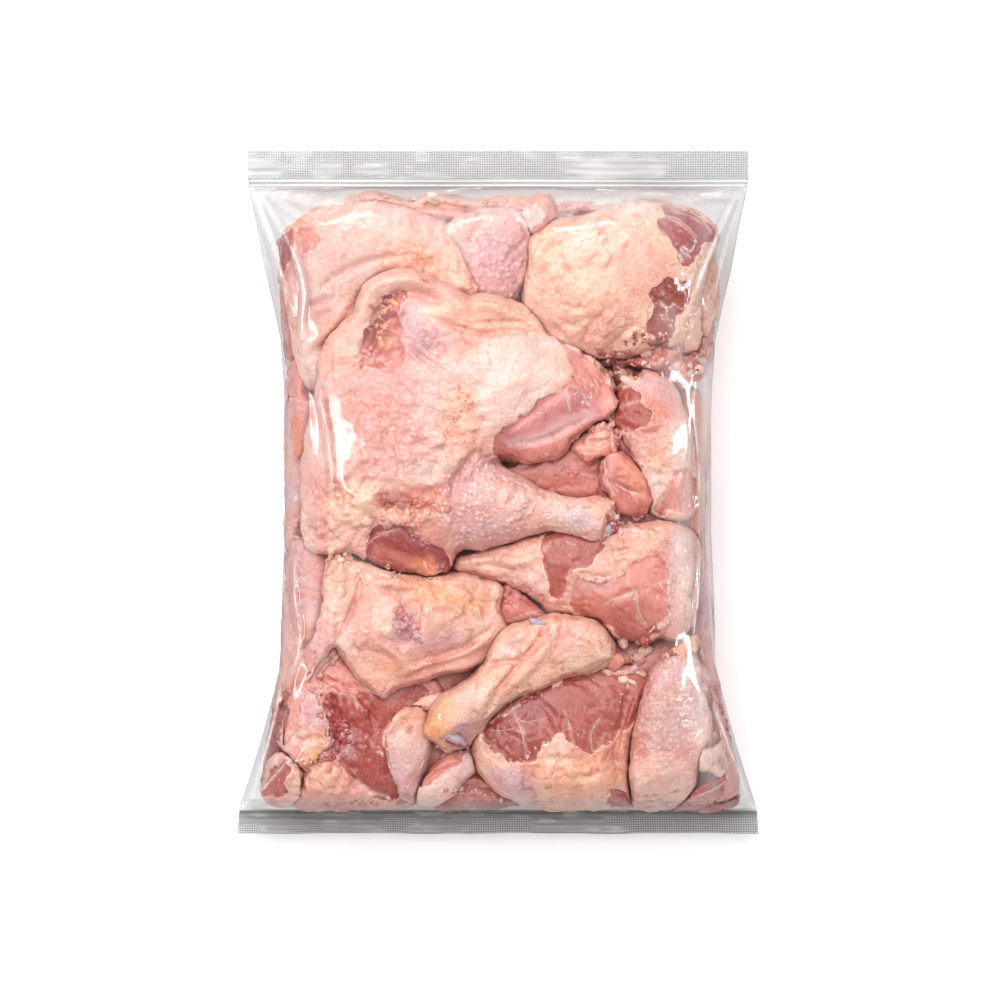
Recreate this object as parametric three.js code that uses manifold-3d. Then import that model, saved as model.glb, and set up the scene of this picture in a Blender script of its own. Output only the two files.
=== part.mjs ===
// A clear sealed bag of raw chicken leg quarters, lying on its back, in millimetres.
// X runs across the bag, +Y towards its top seal and +Z up from the surface it lies on.
// The origin is on that surface, under the middle of the bag.
// Film and contents are one closed solid: the film's own outline with both crimped seals, and on it
// the forms of the leg quarters that press against the front film.
import * as THREE from "three";
import { mergeVertices } from "three/addons/utils/BufferGeometryUtils.js";
import Module from "manifold-3d";

const wasm = await Module();
wasm.setup();

// Driving dimensions of the bag
const TOP_Y = 171.25; // outer edge of the top seal
const BOTTOM_Y = -171.25; // outer edge of the bottom seal
const TOP_SEAL = 14; // depth of the crimped band
const BOTTOM_SEAL = 11.5;
const SEAL_THICK = 1.4; // two films pressed into a crimp
const TOP_SEAL_Z = 17; // height of the seals over the surface
const BOTTOM_SEAL_Z = 15;
const SEAL_WAVE = 1.1; // how far a seal waves up and down
const SEAL_WAVES = 2.5; // waves in the width of a seal
const CRIMP_RIBS = 5; // ribs along each seal
const CRIMP_RELIEF = 0.35;
const FILM_GAP = 0.5; // the two films part by this much on each side where a seal ends
const SECTION_POINTS = 40; // points round each section of the bag
const SECTION_BOX = 0.62; // 1 is an ellipse and smaller is boxier
const SINK = 9; // how far a section would reach under the surface it is pressed flat on

// Half width of the film, and the heights of its side fold, front and back, at places along the bag
const STATIONS = [
  { y: TOP_Y - TOP_SEAL, half: 125.4, fold: TOP_SEAL_Z, front: TOP_SEAL_Z + FILM_GAP,
    back: TOP_SEAL_Z - FILM_GAP },
  { y: 153, half: 125, fold: TOP_SEAL_Z, front: TOP_SEAL_Z + 2, back: TOP_SEAL_Z - 1.5 },
  { y: 145, half: 123, fold: 19, front: 34, back: 6 },
  { y: 132, half: 120, fold: 23, front: 50, back: 0 },
  { y: 112, half: 116.5, fold: 27, front: 58, back: 0 },
  { y: 76, half: 108.5, fold: 31, front: 61, back: 0 },
  { y: 41, half: 106, fold: 33, front: 62, back: 0 },
  { y: -20, half: 107, fold: 33, front: 62, back: 0 },
  { y: -86, half: 108.5, fold: 31, front: 61, back: 0 },
  { y: -118, half: 117, fold: 28, front: 58, back: 0 },
  { y: -142, half: 124, fold: 23, front: 51, back: 0 },
  { y: -155, half: 127.5, fold: 18, front: 35, back: 5 },
  { y: BOTTOM_Y + BOTTOM_SEAL, half: 129.5, fold: BOTTOM_SEAL_Z, front: BOTTOM_SEAL_Z + FILM_GAP,
    back: BOTTOM_SEAL_Z - FILM_GAP },
];
const BODY_ROWS = 28; // sections between the two seals
const TOP_HALF = 125.6; // half width of the top edge
const BOTTOM_HALF = 130.6;

// Rounded lumps: thighs, muscles and skin seen from the front. Each has the height of its top and an
// outline in x and y.
const LUMPS = {
  fold_under_top_seal: {
    top: 50,
    outline: [
      [-76, 146], [-59, 151], [-29, 149], [1, 147], [31, 143], [30, 131], [-2, 132], [-40, 132],
      [-74, 134],
    ],
  },
  scrap_under_top_seal: {
    top: 56,
    outline: [
      [27, 139], [39, 144], [56, 142], [60, 130], [42, 126], [29, 130],
    ],
  },
  thigh_top_left: {
    top: 71,
    outline: [
      [-111, 115], [-104, 130], [-89, 141], [-64, 146], [-34, 140], [-9, 129], [9, 111], [16, 86],
      [-9, 74], [-49, 70], [-76, 58], [-93, 46], [-102, 62], [-109, 91],
    ],
  },
  thigh_top_right: {
    top: 79,
    outline: [
      [13, 108], [16, 124], [31, 136], [56, 143], [81, 144], [101, 138], [109, 126], [109, 108],
      [104, 91], [107, 74], [101, 57], [84, 55], [66, 66], [51, 65], [34, 72], [19, 87],
    ],
  },
  flesh_under_centre: {
    top: 67,
    outline: [
      [1, 10], [24, 22], [44, 34], [60, 34], [72, 14], [77, 0], [72, -13], [51, -11], [26, -9], [2, -4],
    ],
  },
  flesh_end_right: {
    top: 72,
    outline: [
      [52, 17], [62, 22], [71, 12], [77, 0], [73, -11], [62, -9], [55, 3],
    ],
  },
  thigh_right: {
    top: 73,
    outline: [
      [57, 40], [62, 56], [76, 60], [90, 53], [98, 36], [102, 11], [100, -14], [91, -24], [78, -16],
      [73, 3], [66, 21], [58, 30],
    ],
  },
  quarter_middle_right: {
    top: 75,
    outline: [
      [-23, -38], [-9, -28], [21, -24], [51, -24], [76, -15], [96, -18], [100, -39], [99, -64],
      [91, -77], [78, -80], [61, -75], [38, -64], [21, -58], [-2, -48],
    ],
  },
  flesh_between: {
    top: 66,
    outline: [
      [-4, -46], [14, -47], [27, -60], [21, -69], [1, -70], [-6, -57],
    ],
  },
  thigh_low_middle: {
    top: 73,
    outline: [
      [-12, -129], [-4, -113], [11, -98], [36, -88], [61, -88], [74, -97], [71, -119], [67, -136],
      [67, -151], [51, -158], [26, -159], [3, -153], [-8, -142],
    ],
  },
  quarter_low_left: {
    top: 70,
    outline: [
      [-94, -84], [-81, -72], [-60, -76], [-44, -88], [-36, -106], [-46, -119], [-50, -146], [-56, -158],
      [-84, -159], [-112, -157], [-117, -144], [-113, -124], [-105, -102],
    ],
  },
  shank_end_left: {
    top: 75,
    outline: [
      [-106, -127], [-108, -111], [-99, -98], [-88, -98], [-82, -113], [-86, -130], [-96, -138],
    ],
  },
  thigh_low_left: {
    top: 67,
    outline: [
      [-56, -114], [-46, -103], [-37, -110], [-33, -130], [-38, -149], [-49, -152], [-55, -134],
    ],
  },
  flesh_low_left: {
    top: 64,
    outline: [
      [-38, -137], [-28, -126], [-9, -126], [-10, -140], [-21, -152], [-37, -158], [-45, -152],
    ],
  },
  skin_low_left: {
    top: 78,
    outline: [
      [-80, -54], [-74, -36], [-49, -38], [-22, -43], [1, -48], [6, -64], [1, -79], [-19, -88],
      [-43, -92], [-58, -101], [-69, -87], [-79, -73],
    ],
  },
  quarter_centre: {
    top: 84,
    outline: [
      [-99, 31], [-90, 61], [-77, 86], [-62, 103], [-39, 109], [-9, 99], [21, 84], [44, 72], [57, 49],
      [56, 37], [41, 25], [19, 12], [3, 2], [-11, -7], [-17, -27], [-34, -35], [-59, -35], [-79, -29],
      [-96, -24], [-100, 1],
    ],
  },
  flesh_under_knee: {
    top: 77,
    outline: [
      [-74, -27], [-56, -19], [-36, -22], [-23, -31], [-22, -40], [-30, -44], [-49, -42], [-66, -35],
    ],
  },
};

// Drumsticks and rolls of skin: a path of [x, y, z] with the radius at each point
const DRUMS = {
  drumstick_top: [
    [-20, 92, 56, 15], [-6, 107, 58, 20], [10, 126, 54, 16], [22, 138, 48, 9], [28, 140, 45, 7],
  ],
  drumstick_centre: [
    [-38, -6, 64, 22], [-17, -8, 64, 21], [1, -10, 65, 17.5], [18, -12, 67, 12], [33, -13, 68, 9.4],
    [46, -14, 68, 10], [55, -16, 67, 9],
  ],
  drumstick_low: [
    [-25, -126, 62, 10], [-13, -111, 64, 13], [2, -97, 64, 16], [23, -82, 62, 19], [44, -77, 60, 17],
    [61, -83, 60, 11], [71, -88, 58, 7],
  ],
  drumstick_low_right: [
    [94, -84, 60, 7], [87, -97, 57, 14], [86, -116, 54, 20], [91, -134, 50, 23], [93, -140, 49, 19],
  ],
  skin_roll_left: [
    [-73, -36, 66, 6], [-76, -54, 68, 7.5], [-82, -72, 66, 7], [-93, -87, 62, 6.5], [-100, -99, 57, 5],
  ],
  skin_roll_right: [[81, -88, 62, 4.5], [91, -81, 64, 5], [101, -76, 61, 5], [104, -83, 56, 4]],
  stub_low_left: [[-106, -130, 58, 7], [-109, -142, 54, 10], [-109, -150, 50, 8]],
};
const LUMP_SIDES = 26;
const LUMP_RINGS = 5;
const LUMP_BASE = 42; // lumps start inside the bag's own section
const LUMP_FULLNESS = 0.8; // 1 is a half ellipse and smaller has a flatter top
const DRUM_SIDES = 12;
const DRUM_STEPS = 12;
const DRUM_END = [ // rings that round off a limb's end: their size and how far out they stand, in radii
  { shrink: 0.82, push: 0.5 },
  { shrink: 0.45, push: 0.85 },
];
const SAME_POINT = 1e-4; // points of a ring nearer than this are one
const FILM_COLOUR = 0xe9bfae; // pale pink, as the meat shows through
const FILM_ROUGHNESS = 0.25;
const MERGE = 0.05; // vertices nearer than this are one, so that the solid has no slivers

const lerp = (a, b, t) => a + (b - a) * t;

// A closed mesh from rings of points of equal count, the first and last ring closed by a fan.
function loft(rings) {
  const count = rings[0].length;
  const points = rings.flat();
  const faces = [];
  for (let r = 0; r + 1 < rings.length; r++) {
    for (let i = 0; i < count; i++) {
      const a = r * count + i;
      const b = r * count + ((i + 1) % count);
      faces.push(a, b, b + count, a, b + count, a + count);
    }
  }
  const last = (rings.length - 1) * count;
  const middle = (ring) => ring.reduce((sum, p) => sum.add(p), new THREE.Vector3()).divideScalar(count);
  const start = points.push(middle(rings[0])) - 1;
  const end = points.push(middle(rings[rings.length - 1])) - 1;
  for (let i = 0; i < count; i++) {
    const next = (i + 1) % count;
    faces.push(start, next, i, end, last + i, last + next);
  }
  return new THREE.BufferGeometry().setFromPoints(points).setIndex(faces);
}

function solidOf(geometry) {
  const merged = mergeVertices(geometry, SAME_POINT);
  return new wasm.Manifold(
    new wasm.Mesh({
      numProp: 3,
      vertProperties: new Float32Array(merged.attributes.position.array),
      triVerts: new Uint32Array(merged.index.array),
    }),
  );
}

function geometryOf(solid) {
  const mesh = solid.getMesh();
  const geometry = new THREE.BufferGeometry()
    .setAttribute("position", new THREE.BufferAttribute(new Float32Array(mesh.vertProperties), 3))
    .setIndex(new THREE.BufferAttribute(new Uint32Array(mesh.triVerts), 1));
  geometry.computeVertexNormals();
  return geometry;
}

// The stations' sizes at any y between the seals, on one smooth curve through them.
function stationAt(y) {
  const next = STATIONS.findIndex((s) => s.y <= y);
  const i = Math.min(Math.max(next - 1, 0), STATIONS.length - 2);
  const [a, b] = [STATIONS[i], STATIONS[i + 1]];
  const t = THREE.MathUtils.clamp((a.y - y) / (a.y - b.y), 0, 1);
  const size = (key) => lerp(a[key], b[key], t);
  return { half: size("half"), fold: size("fold"), front: size("front"), back: size("back") };
}

// One closed section of the bag across X, from the right fold over the front and back under.
function section(y, { half, fold, front, back }) {
  const ring = [];
  for (let i = 0; i < SECTION_POINTS; i++) {
    const angle = (2 * Math.PI * i) / SECTION_POINTS;
    const [c, s] = [Math.cos(angle), Math.sin(angle)];
    const x = half * Math.sign(c) * Math.abs(c) ** SECTION_BOX;
    const rise = s >= 0 ? (front - fold) * s ** SECTION_BOX : (back - SINK - fold) * (-s) ** SECTION_BOX;
    ring.push(new THREE.Vector3(x, y, Math.max(back, fold + rise)));
  }
  return ring;
}

// One section of a seal: a thin strip, thicker on its ribs, that waves along the bag's width.
function sealSection(y, half, z, thick) {
  const wave = (x) => SEAL_WAVE * Math.sin((Math.PI * SEAL_WAVES * x) / half);
  return section(y, { half, fold: z, front: z + thick / 2, back: z - thick / 2 }).map(
    (p) => new THREE.Vector3(p.x, p.y, THREE.MathUtils.clamp(p.z, z - thick / 2, z + thick / 2) + wave(p.x)),
  );
}

// A seal's sections from its outer edge inwards, two for each rib.
function seal(outerY, depth, outerHalf, innerHalf, z) {
  const rows = 2 * CRIMP_RIBS;
  return Array.from({ length: rows }, (_, i) => {
    const t = i / rows;
    const thick = SEAL_THICK + (i % 2 ? CRIMP_RELIEF : -CRIMP_RELIEF);
    return sealSection(lerp(outerY, outerY - depth, t), lerp(outerHalf, innerHalf, t), z, thick);
  });
}

function bag() {
  const innerTop = STATIONS[0];
  const innerBottom = STATIONS[STATIONS.length - 1];
  const body = Array.from({ length: BODY_ROWS }, (_, i) => {
    const y = lerp(innerTop.y, innerBottom.y, i / (BODY_ROWS - 1));
    return section(y, stationAt(y));
  });
  const top = seal(TOP_Y, TOP_SEAL, TOP_HALF, innerTop.half, TOP_SEAL_Z);
  const bottom = seal(BOTTOM_Y, -BOTTOM_SEAL, BOTTOM_HALF, innerBottom.half, BOTTOM_SEAL_Z);
  return solidOf(loft([...top, ...body, ...bottom.reverse()]));
}

// A rounded lump over an outline, flat at its base inside the bag.
function lump({ top, outline }) {
  const curve = new THREE.CatmullRomCurve3(outline.map(([x, y]) => new THREE.Vector3(x, y, 0)), true);
  const edge = curve.getSpacedPoints(LUMP_SIDES).slice(0, LUMP_SIDES);
  const centre = edge.reduce((sum, p) => sum.add(p), new THREE.Vector3()).divideScalar(LUMP_SIDES);
  const rings = Array.from({ length: LUMP_RINGS }, (_, r) => {
    const angle = (0.5 * Math.PI * r) / LUMP_RINGS;
    const scale = Math.cos(angle) ** LUMP_FULLNESS;
    const z = lerp(LUMP_BASE, top, Math.sin(angle) ** LUMP_FULLNESS);
    return edge.map((p) => new THREE.Vector3().lerpVectors(centre, p, scale).setZ(z));
  });
  const clockwise = THREE.ShapeUtils.isClockWise(edge);
  return solidOf(loft(clockwise ? rings.map((ring) => [...ring].reverse()) : rings));
}

// A tapered round limb along a path, closed by rounded ends.
function drum(path) {
  const along = new THREE.CatmullRomCurve3(path.map(([x, y, z]) => new THREE.Vector3(x, y, z)));
  const radii = new THREE.CatmullRomCurve3(path.map(([, , , r], i) => new THREE.Vector3(i, r, 0)));
  const up = new THREE.Vector3(0, 0, 1);
  const ringAt = (t, shrink, push) => {
    const tangent = along.getTangent(t).normalize();
    const side = new THREE.Vector3().crossVectors(tangent, up).normalize();
    const over = new THREE.Vector3().crossVectors(side, tangent);
    const radius = radii.getPoint(t).y;
    const centre = along.getPoint(t).addScaledVector(tangent, push * radius);
    return Array.from({ length: DRUM_SIDES }, (_, i) => {
      const angle = (-2 * Math.PI * i) / DRUM_SIDES;
      return centre
        .clone()
        .addScaledVector(side, shrink * radius * Math.cos(angle))
        .addScaledVector(over, shrink * radius * Math.sin(angle));
    });
  };
  const start = DRUM_END.map(({ shrink, push }) => ringAt(0, shrink, -push)).reverse();
  const middle = Array.from({ length: DRUM_STEPS }, (_, i) => ringAt(i / (DRUM_STEPS - 1), 1, 0));
  const end = DRUM_END.map(({ shrink, push }) => ringAt(1, shrink, push));
  return solidOf(loft([...start, ...middle, ...end]));
}

const pieces = [...Object.values(LUMPS).map(lump), ...Object.values(DRUMS).map(drum)];
const fused = pieces.reduce((whole, piece) => whole.add(piece), bag()).simplify(MERGE);
// Fusing can leave a crumb where two lumps just miss each other, so only the largest body is the bag.
const larger = (one, other) => (other.volume() > one.volume() ? other : one);
const filled = fused.decompose().reduce(larger);

const film = new THREE.MeshStandardMaterial({ color: FILM_COLOUR, roughness: FILM_ROUGHNESS });
const filledBag = new THREE.Mesh(geometryOf(filled), film);
filledBag.name = "filled_bag";

const root = new THREE.Group();
root.add(filledBag);

export default root;
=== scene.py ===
import math

import bpy
import numpy as np
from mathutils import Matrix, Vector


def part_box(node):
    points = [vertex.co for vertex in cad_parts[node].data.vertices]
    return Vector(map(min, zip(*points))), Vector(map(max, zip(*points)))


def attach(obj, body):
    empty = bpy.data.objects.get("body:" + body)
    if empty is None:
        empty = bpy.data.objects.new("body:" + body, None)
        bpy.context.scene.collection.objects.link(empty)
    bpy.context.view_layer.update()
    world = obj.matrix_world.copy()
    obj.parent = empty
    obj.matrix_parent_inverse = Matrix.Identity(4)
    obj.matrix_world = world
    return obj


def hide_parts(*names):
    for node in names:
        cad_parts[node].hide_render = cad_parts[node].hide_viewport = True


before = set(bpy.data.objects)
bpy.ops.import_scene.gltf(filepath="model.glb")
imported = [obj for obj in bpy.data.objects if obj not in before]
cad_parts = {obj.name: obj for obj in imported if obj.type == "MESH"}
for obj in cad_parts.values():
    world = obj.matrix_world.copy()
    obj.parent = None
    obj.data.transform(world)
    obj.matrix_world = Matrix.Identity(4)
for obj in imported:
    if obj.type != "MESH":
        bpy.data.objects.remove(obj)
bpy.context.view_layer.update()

import openvdb

MM = 0.001
SEED = 7
VOXEL = 1.05
COARSE_VOXEL = 2.0
PLAN_STEP = 1.0

# Millimetres unless said otherwise
PATCH_WANDER = 1.6  # how far the edges of painted patches stray
LIMB_FLATNESS = 0.92  # height of a limb for each unit of its width
TORN_STEP = 0.9  # how far bare flesh lies below the skin round it
RIB_BAND = 4.6  # the flat band with the two ribs under the top seal
RIBS = ((1.5, 0.55), (3.7, 0.6))  # distance from the seal and half width of each rib
FILM_SWEEPS = 450  # rounds in which the film is drawn tight

# The bag: half widths and heights along its length, from the CAD box and the seals' bands
LOW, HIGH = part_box("filled_bag")
TOP_Y = HIGH.y / MM
BOTTOM_Y = LOW.y / MM
TOP_SEAL = 14.0
BOTTOM_SEAL = 11.5
TOP_LINE = TOP_Y - TOP_SEAL
BOTTOM_LINE = BOTTOM_Y + BOTTOM_SEAL
TOP_HALF = 125.6
BOTTOM_HALF = 130.6
TOP_SEAL_Z = 17.0
BOTTOM_SEAL_Z = 15.0
FILM_GAP = 0.8
FILM_FLOOR = 0.35
HEAP_TOP = 85.0
STATIONS = [  # y, half width, height of the side fold, height of the back film
    (TOP_LINE, 125.4, TOP_SEAL_Z, 16.5),
    (153, 125.0, TOP_SEAL_Z, 14.0),
    (145, 123.4, 19, 6.0),
    (132, 120.6, 22, 0.6),
    (112, 116.8, 26, FILM_FLOOR),
    (96, 113.0, 28, FILM_FLOOR),
    (76, 108.5, 31, FILM_FLOOR),
    (54, 107.0, 33, FILM_FLOOR),
    (40, 106.5, 33, FILM_FLOOR),
    (-20, 106.5, 33, FILM_FLOOR),
    (-54, 108.0, 32, FILM_FLOOR),
    (-86, 108.5, 31, FILM_FLOOR),
    (-104, 113.0, 29, FILM_FLOOR),
    (-124, 118.5, 27, FILM_FLOOR),
    (-144, 124.8, 22, 1.0),
    (-155, 128.6, 17, 7.0),
    (BOTTOM_LINE, 129.8, BOTTOM_SEAL_Z, 14.5),
]

# Colours of skin, fat and flesh as the photograph shows them, in display values
COLOURS = {
    "peach": (243, 203, 185),
    "pale": (246, 220, 207),
    "cream": (246, 211, 186),
    "pink": (238, 187, 177),
    "rose": (226, 154, 146),
    "lilac": (224, 184, 189),
    "grape": (188, 138, 158),
    "grey": (236, 206, 197),
    "orange": (240, 156, 108),
    "amber": (245, 184, 126),
    "apricot": (247, 197, 164),
    "salmon": (226, 145, 130),
    "flesh": (199, 114, 103),
    "brown": (168, 92, 80),
    "red": (170, 72, 63),
    "plum": (164, 84, 92),
    "orchid": (190, 118, 124),
    "blood": (180, 48, 54),
    "dark": (112, 50, 47),
    # deep is the red of the painted shade in creases and under pieces, and also of one lump
    "deep": (176, 60, 46),
    "sienna": (176, 88, 76),
    "garnet": (152, 60, 50),
    "dusk": (240, 231, 229),  # laid over all skin and flesh
    "shell": (240, 170, 158),
    "greige": (216, 182, 172),
    "steel": (186, 180, 200),
    "white": (250, 228, 218),
}


def linear(name):
    """A named colour as linear red, green and blue."""
    shown = np.array(COLOURS[name], float) / 255
    return np.where(shown <= 0.04045, shown / 12.92, ((shown + 0.055) / 1.055) ** 2.4)


def station(y):
    """Half width, side fold height and back height of the bag at y."""
    table = np.array(sorted(STATIONS))
    return [np.interp(y, table[:, 0], table[:, column]) for column in (1, 2, 3)]


def noise(points, size, seed=0):
    """Smooth noise from -1 to 1 at each point, with lumps about as large as size."""
    p = np.asarray(points, float) / size
    whole = np.floor(p).astype(np.int64)
    part = p - whole
    weight = part ** 3 * (part * (part * 6 - 15) + 10)
    total = np.zeros(len(p))
    for corner in range(8):
        step = np.array([corner & 1, (corner >> 1) & 1, corner >> 2])
        c = whole + step
        mix = c[:, 0] * 73856093 ^ c[:, 1] * 19349663 ^ c[:, 2] * 83492791 ^ (seed + SEED) * 40503
        mix = ((mix ^ (mix >> 13)) * 1274126177) & 0x7FFFFFFF
        mix = ((mix ^ (mix >> 15)) * 668265263) & 0x7FFFFFFF
        share = np.prod(np.where(step, weight, 1 - weight), axis=1)
        total += share * (mix / 0x7FFFFFFF * 2 - 1)
    return total


def layered(points, size, seed=0, layers=3):
    """Noise with finer noise on it."""
    total = 0
    for layer in range(layers):
        total = total + noise(points, size / 2 ** layer, seed + 11 * layer) / 2 ** layer
    return total / 1.5


def curve(points, closed, steps=4):
    """Smooth curve through points, by Catmull and Rom's rule."""
    p = np.array(points, float)
    if len(p) < 3:
        return p
    n = len(p)
    result = []
    spans = n if closed else n - 1
    for i in range(spans):
        if closed:
            a, b, c, d = (p[(i + k) % n] for k in (-1, 0, 1, 2))
        else:
            a, b, c, d = (p[min(max(i + k, 0), n - 1)] for k in (-1, 0, 1, 2))
        for t in np.arange(steps) / steps:
            result.append(0.5 * (2 * b + (c - a) * t + (2 * a - 5 * b + 4 * c - d) * t * t
                                 + (3 * b - a - 3 * c + d) * t ** 3))
    if not closed:
        result.append(p[-1])
    return np.array(result)


def nearest(x, y, line, closed=False):
    """Distance in plan to a polyline, and the nearest place on it as a span number with its fraction."""
    ends = np.roll(line, -1, axis=0) if closed else line[1:]
    starts = line if closed else line[:-1]
    best = np.full(np.shape(x), 1e9)
    where = np.zeros(np.shape(x))
    for i, (a, b) in enumerate(zip(starts, ends)):
        dx, dy = b[0] - a[0], b[1] - a[1]
        t = np.clip(((x - a[0]) * dx + (y - a[1]) * dy) / max(dx * dx + dy * dy, 1e-9), 0, 1)
        gap = (x - a[0] - t * dx) ** 2 + (y - a[1] - t * dy) ** 2
        closer = gap < best
        best = np.where(closer, gap, best)
        where = np.where(closer, i + t, where)
    return np.sqrt(best), where


def inside_distance(x, y, outline):
    """Signed distance to a closed outline, positive inside it."""
    gap, _ = nearest(x, y, outline, closed=True)
    inside = np.zeros(np.shape(x), bool)
    for a, b in zip(outline, np.roll(outline, -1, axis=0)):
        crosses = (a[1] > y) != (b[1] > y)
        reach = a[0] + (y - a[1]) / (b[1] - a[1] if b[1] != a[1] else 1e-9) * (b[0] - a[0])
        inside ^= crosses & (x < reach)
    return np.where(inside, gap, -gap)


def smoothstep(low, high, value):
    """From 0 at low to 1 at high, with soft ends."""
    t = np.clip((value - low) / (high - low), 0, 1)
    return t * t * (3 - 2 * t)


def inflate(inside, sweeps=160):
    """A dome over a mask: the height of a pressed membrane held at the mask's edge, from 0 to 1."""
    u = np.zeros(inside.shape)
    rows, columns = np.indices(inside.shape)
    parity = (rows + columns) % 2
    core = inside.copy()
    core[0] = core[-1] = False
    core[:, 0] = core[:, -1] = False
    for _ in range(sweeps):
        for colour in (0, 1):
            around = np.zeros_like(u)
            around[1:-1, 1:-1] = u[2:, 1:-1] + u[:-2, 1:-1] + u[1:-1, 2:] + u[1:-1, :-2]
            pick = core & (parity == colour)
            u[pick] += 1.88 * ((around[pick] + 1) / 4 - u[pick])
    return u / max(u.max(), 1e-9)


def sample(grid, x0, y0, step, x, y):
    """Value of a plan grid at points, between its nodes."""
    i = np.clip((np.asarray(x) - x0) / step, 0, grid.shape[0] - 1.001)
    j = np.clip((np.asarray(y) - y0) / step, 0, grid.shape[1] - 1.001)
    a, b = i.astype(int), j.astype(int)
    s, t = i - a, j - b
    return ((grid[a, b] * (1 - s) + grid[a + 1, b] * s) * (1 - t)
            + (grid[a, b + 1] * (1 - s) + grid[a + 1, b + 1] * s) * t)


def blurred(grid, radius, axes=(0, 1)):
    """The grid averaged over a square window, three times over."""
    result = grid.copy()
    for _ in range(3):
        for axis in axes:
            pad = [(radius, radius) if k == axis else (0, 0) for k in (0, 1)]
            total = np.cumsum(np.pad(result, pad, mode="edge"), axis=axis)
            total = np.insert(total, 0, 0, axis=axis)
            width = 2 * radius + 1
            high = np.take(total, np.arange(width, total.shape[axis]), axis=axis)
            low = np.take(total, np.arange(0, total.shape[axis] - width), axis=axis)
            result = (high - low) / width
    return result


def dilated(grid, radius, axes=(0, 1)):
    """The grid's highest value within radius cells, along the given axes."""
    result = grid.copy()
    for axis in axes:
        best = result.copy()
        for shift in range(-radius, radius + 1):
            best = np.maximum(best, np.roll(result, shift, axis=axis))
        result = best
    return result


class Heap:
    """How high the pieces reach over the plan, and how high they may reach under the film."""

    def __init__(self):
        self.x0, self.y0 = -134.0, -174.0
        self.xs = np.arange(self.x0, 134.5, PLAN_STEP)
        self.ys = np.arange(self.y0, 174.5, PLAN_STEP)
        x, y = np.meshgrid(self.xs, self.ys, indexing="ij")
        half, fold, back = station(y)
        share = np.clip(np.abs(x) / half, 0, 1)
        self.height = back + (fold - back) * share ** 9 + FILM_FLOOR
        room = HEAP_TOP - fold
        ends = 1 - np.clip((np.abs(y) - 118) / 43.0, 0, 1) ** 3 * 0.62
        self.limit = fold + room * np.clip(1 - share ** 6, 0, 1) ** 0.62 * ends - FILM_GAP

    def at(self, x, y):
        """How high the pieces reach at places in the plan."""
        return sample(self.height, self.x0, self.y0, PLAN_STEP, x, y)

    def limit_at(self, x, y):
        """How high they may reach there."""
        return sample(self.limit, self.x0, self.y0, PLAN_STEP, x, y)


def faces_normals(points, quads):
    """Vertex normals of a mesh of quads."""
    a, b, c, d = (points[quads[:, k]] for k in range(4))
    face = np.cross(c - a, d - b)
    normals = np.zeros_like(points)
    for k in range(4):
        for axis in range(3):
            normals[:, axis] += np.bincount(quads[:, k], face[:, axis], len(points))
    return normals / np.maximum(np.linalg.norm(normals, axis=1, keepdims=True), 1e-9)


def largest_part(points, quads):
    """The largest connected body of a mesh, without its crumbs."""
    label = np.arange(len(points))
    while True:
        low = label[quads].min(axis=1)
        fresh = label.copy()
        for k in range(4):
            np.minimum.at(fresh, quads[:, k], low)
        fresh = fresh[fresh]
        if (fresh == label).all():
            break
        label = fresh
    names, counts = np.unique(label[quads[:, 0]], return_counts=True)
    keep = label == names[counts.argmax()]
    index = np.cumsum(keep) - 1
    kept = quads[keep[quads[:, 0]]]
    return points[keep], index[kept]


def drum_field(x, y, path):
    """A limb along a path of x, y, z and radius: its squared plan distance, centre height and radius."""
    line = curve(path, closed=False, steps=5)
    gap, where = nearest(x, y, line)
    index = np.clip(where.astype(int), 0, len(line) - 2)
    t = where - index
    z = line[index, 2] * (1 - t) + line[index + 1, 2] * t
    radius = line[index, 3] * (1 - t) + line[index + 1, 3] * t
    return gap ** 2, z, radius


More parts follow.
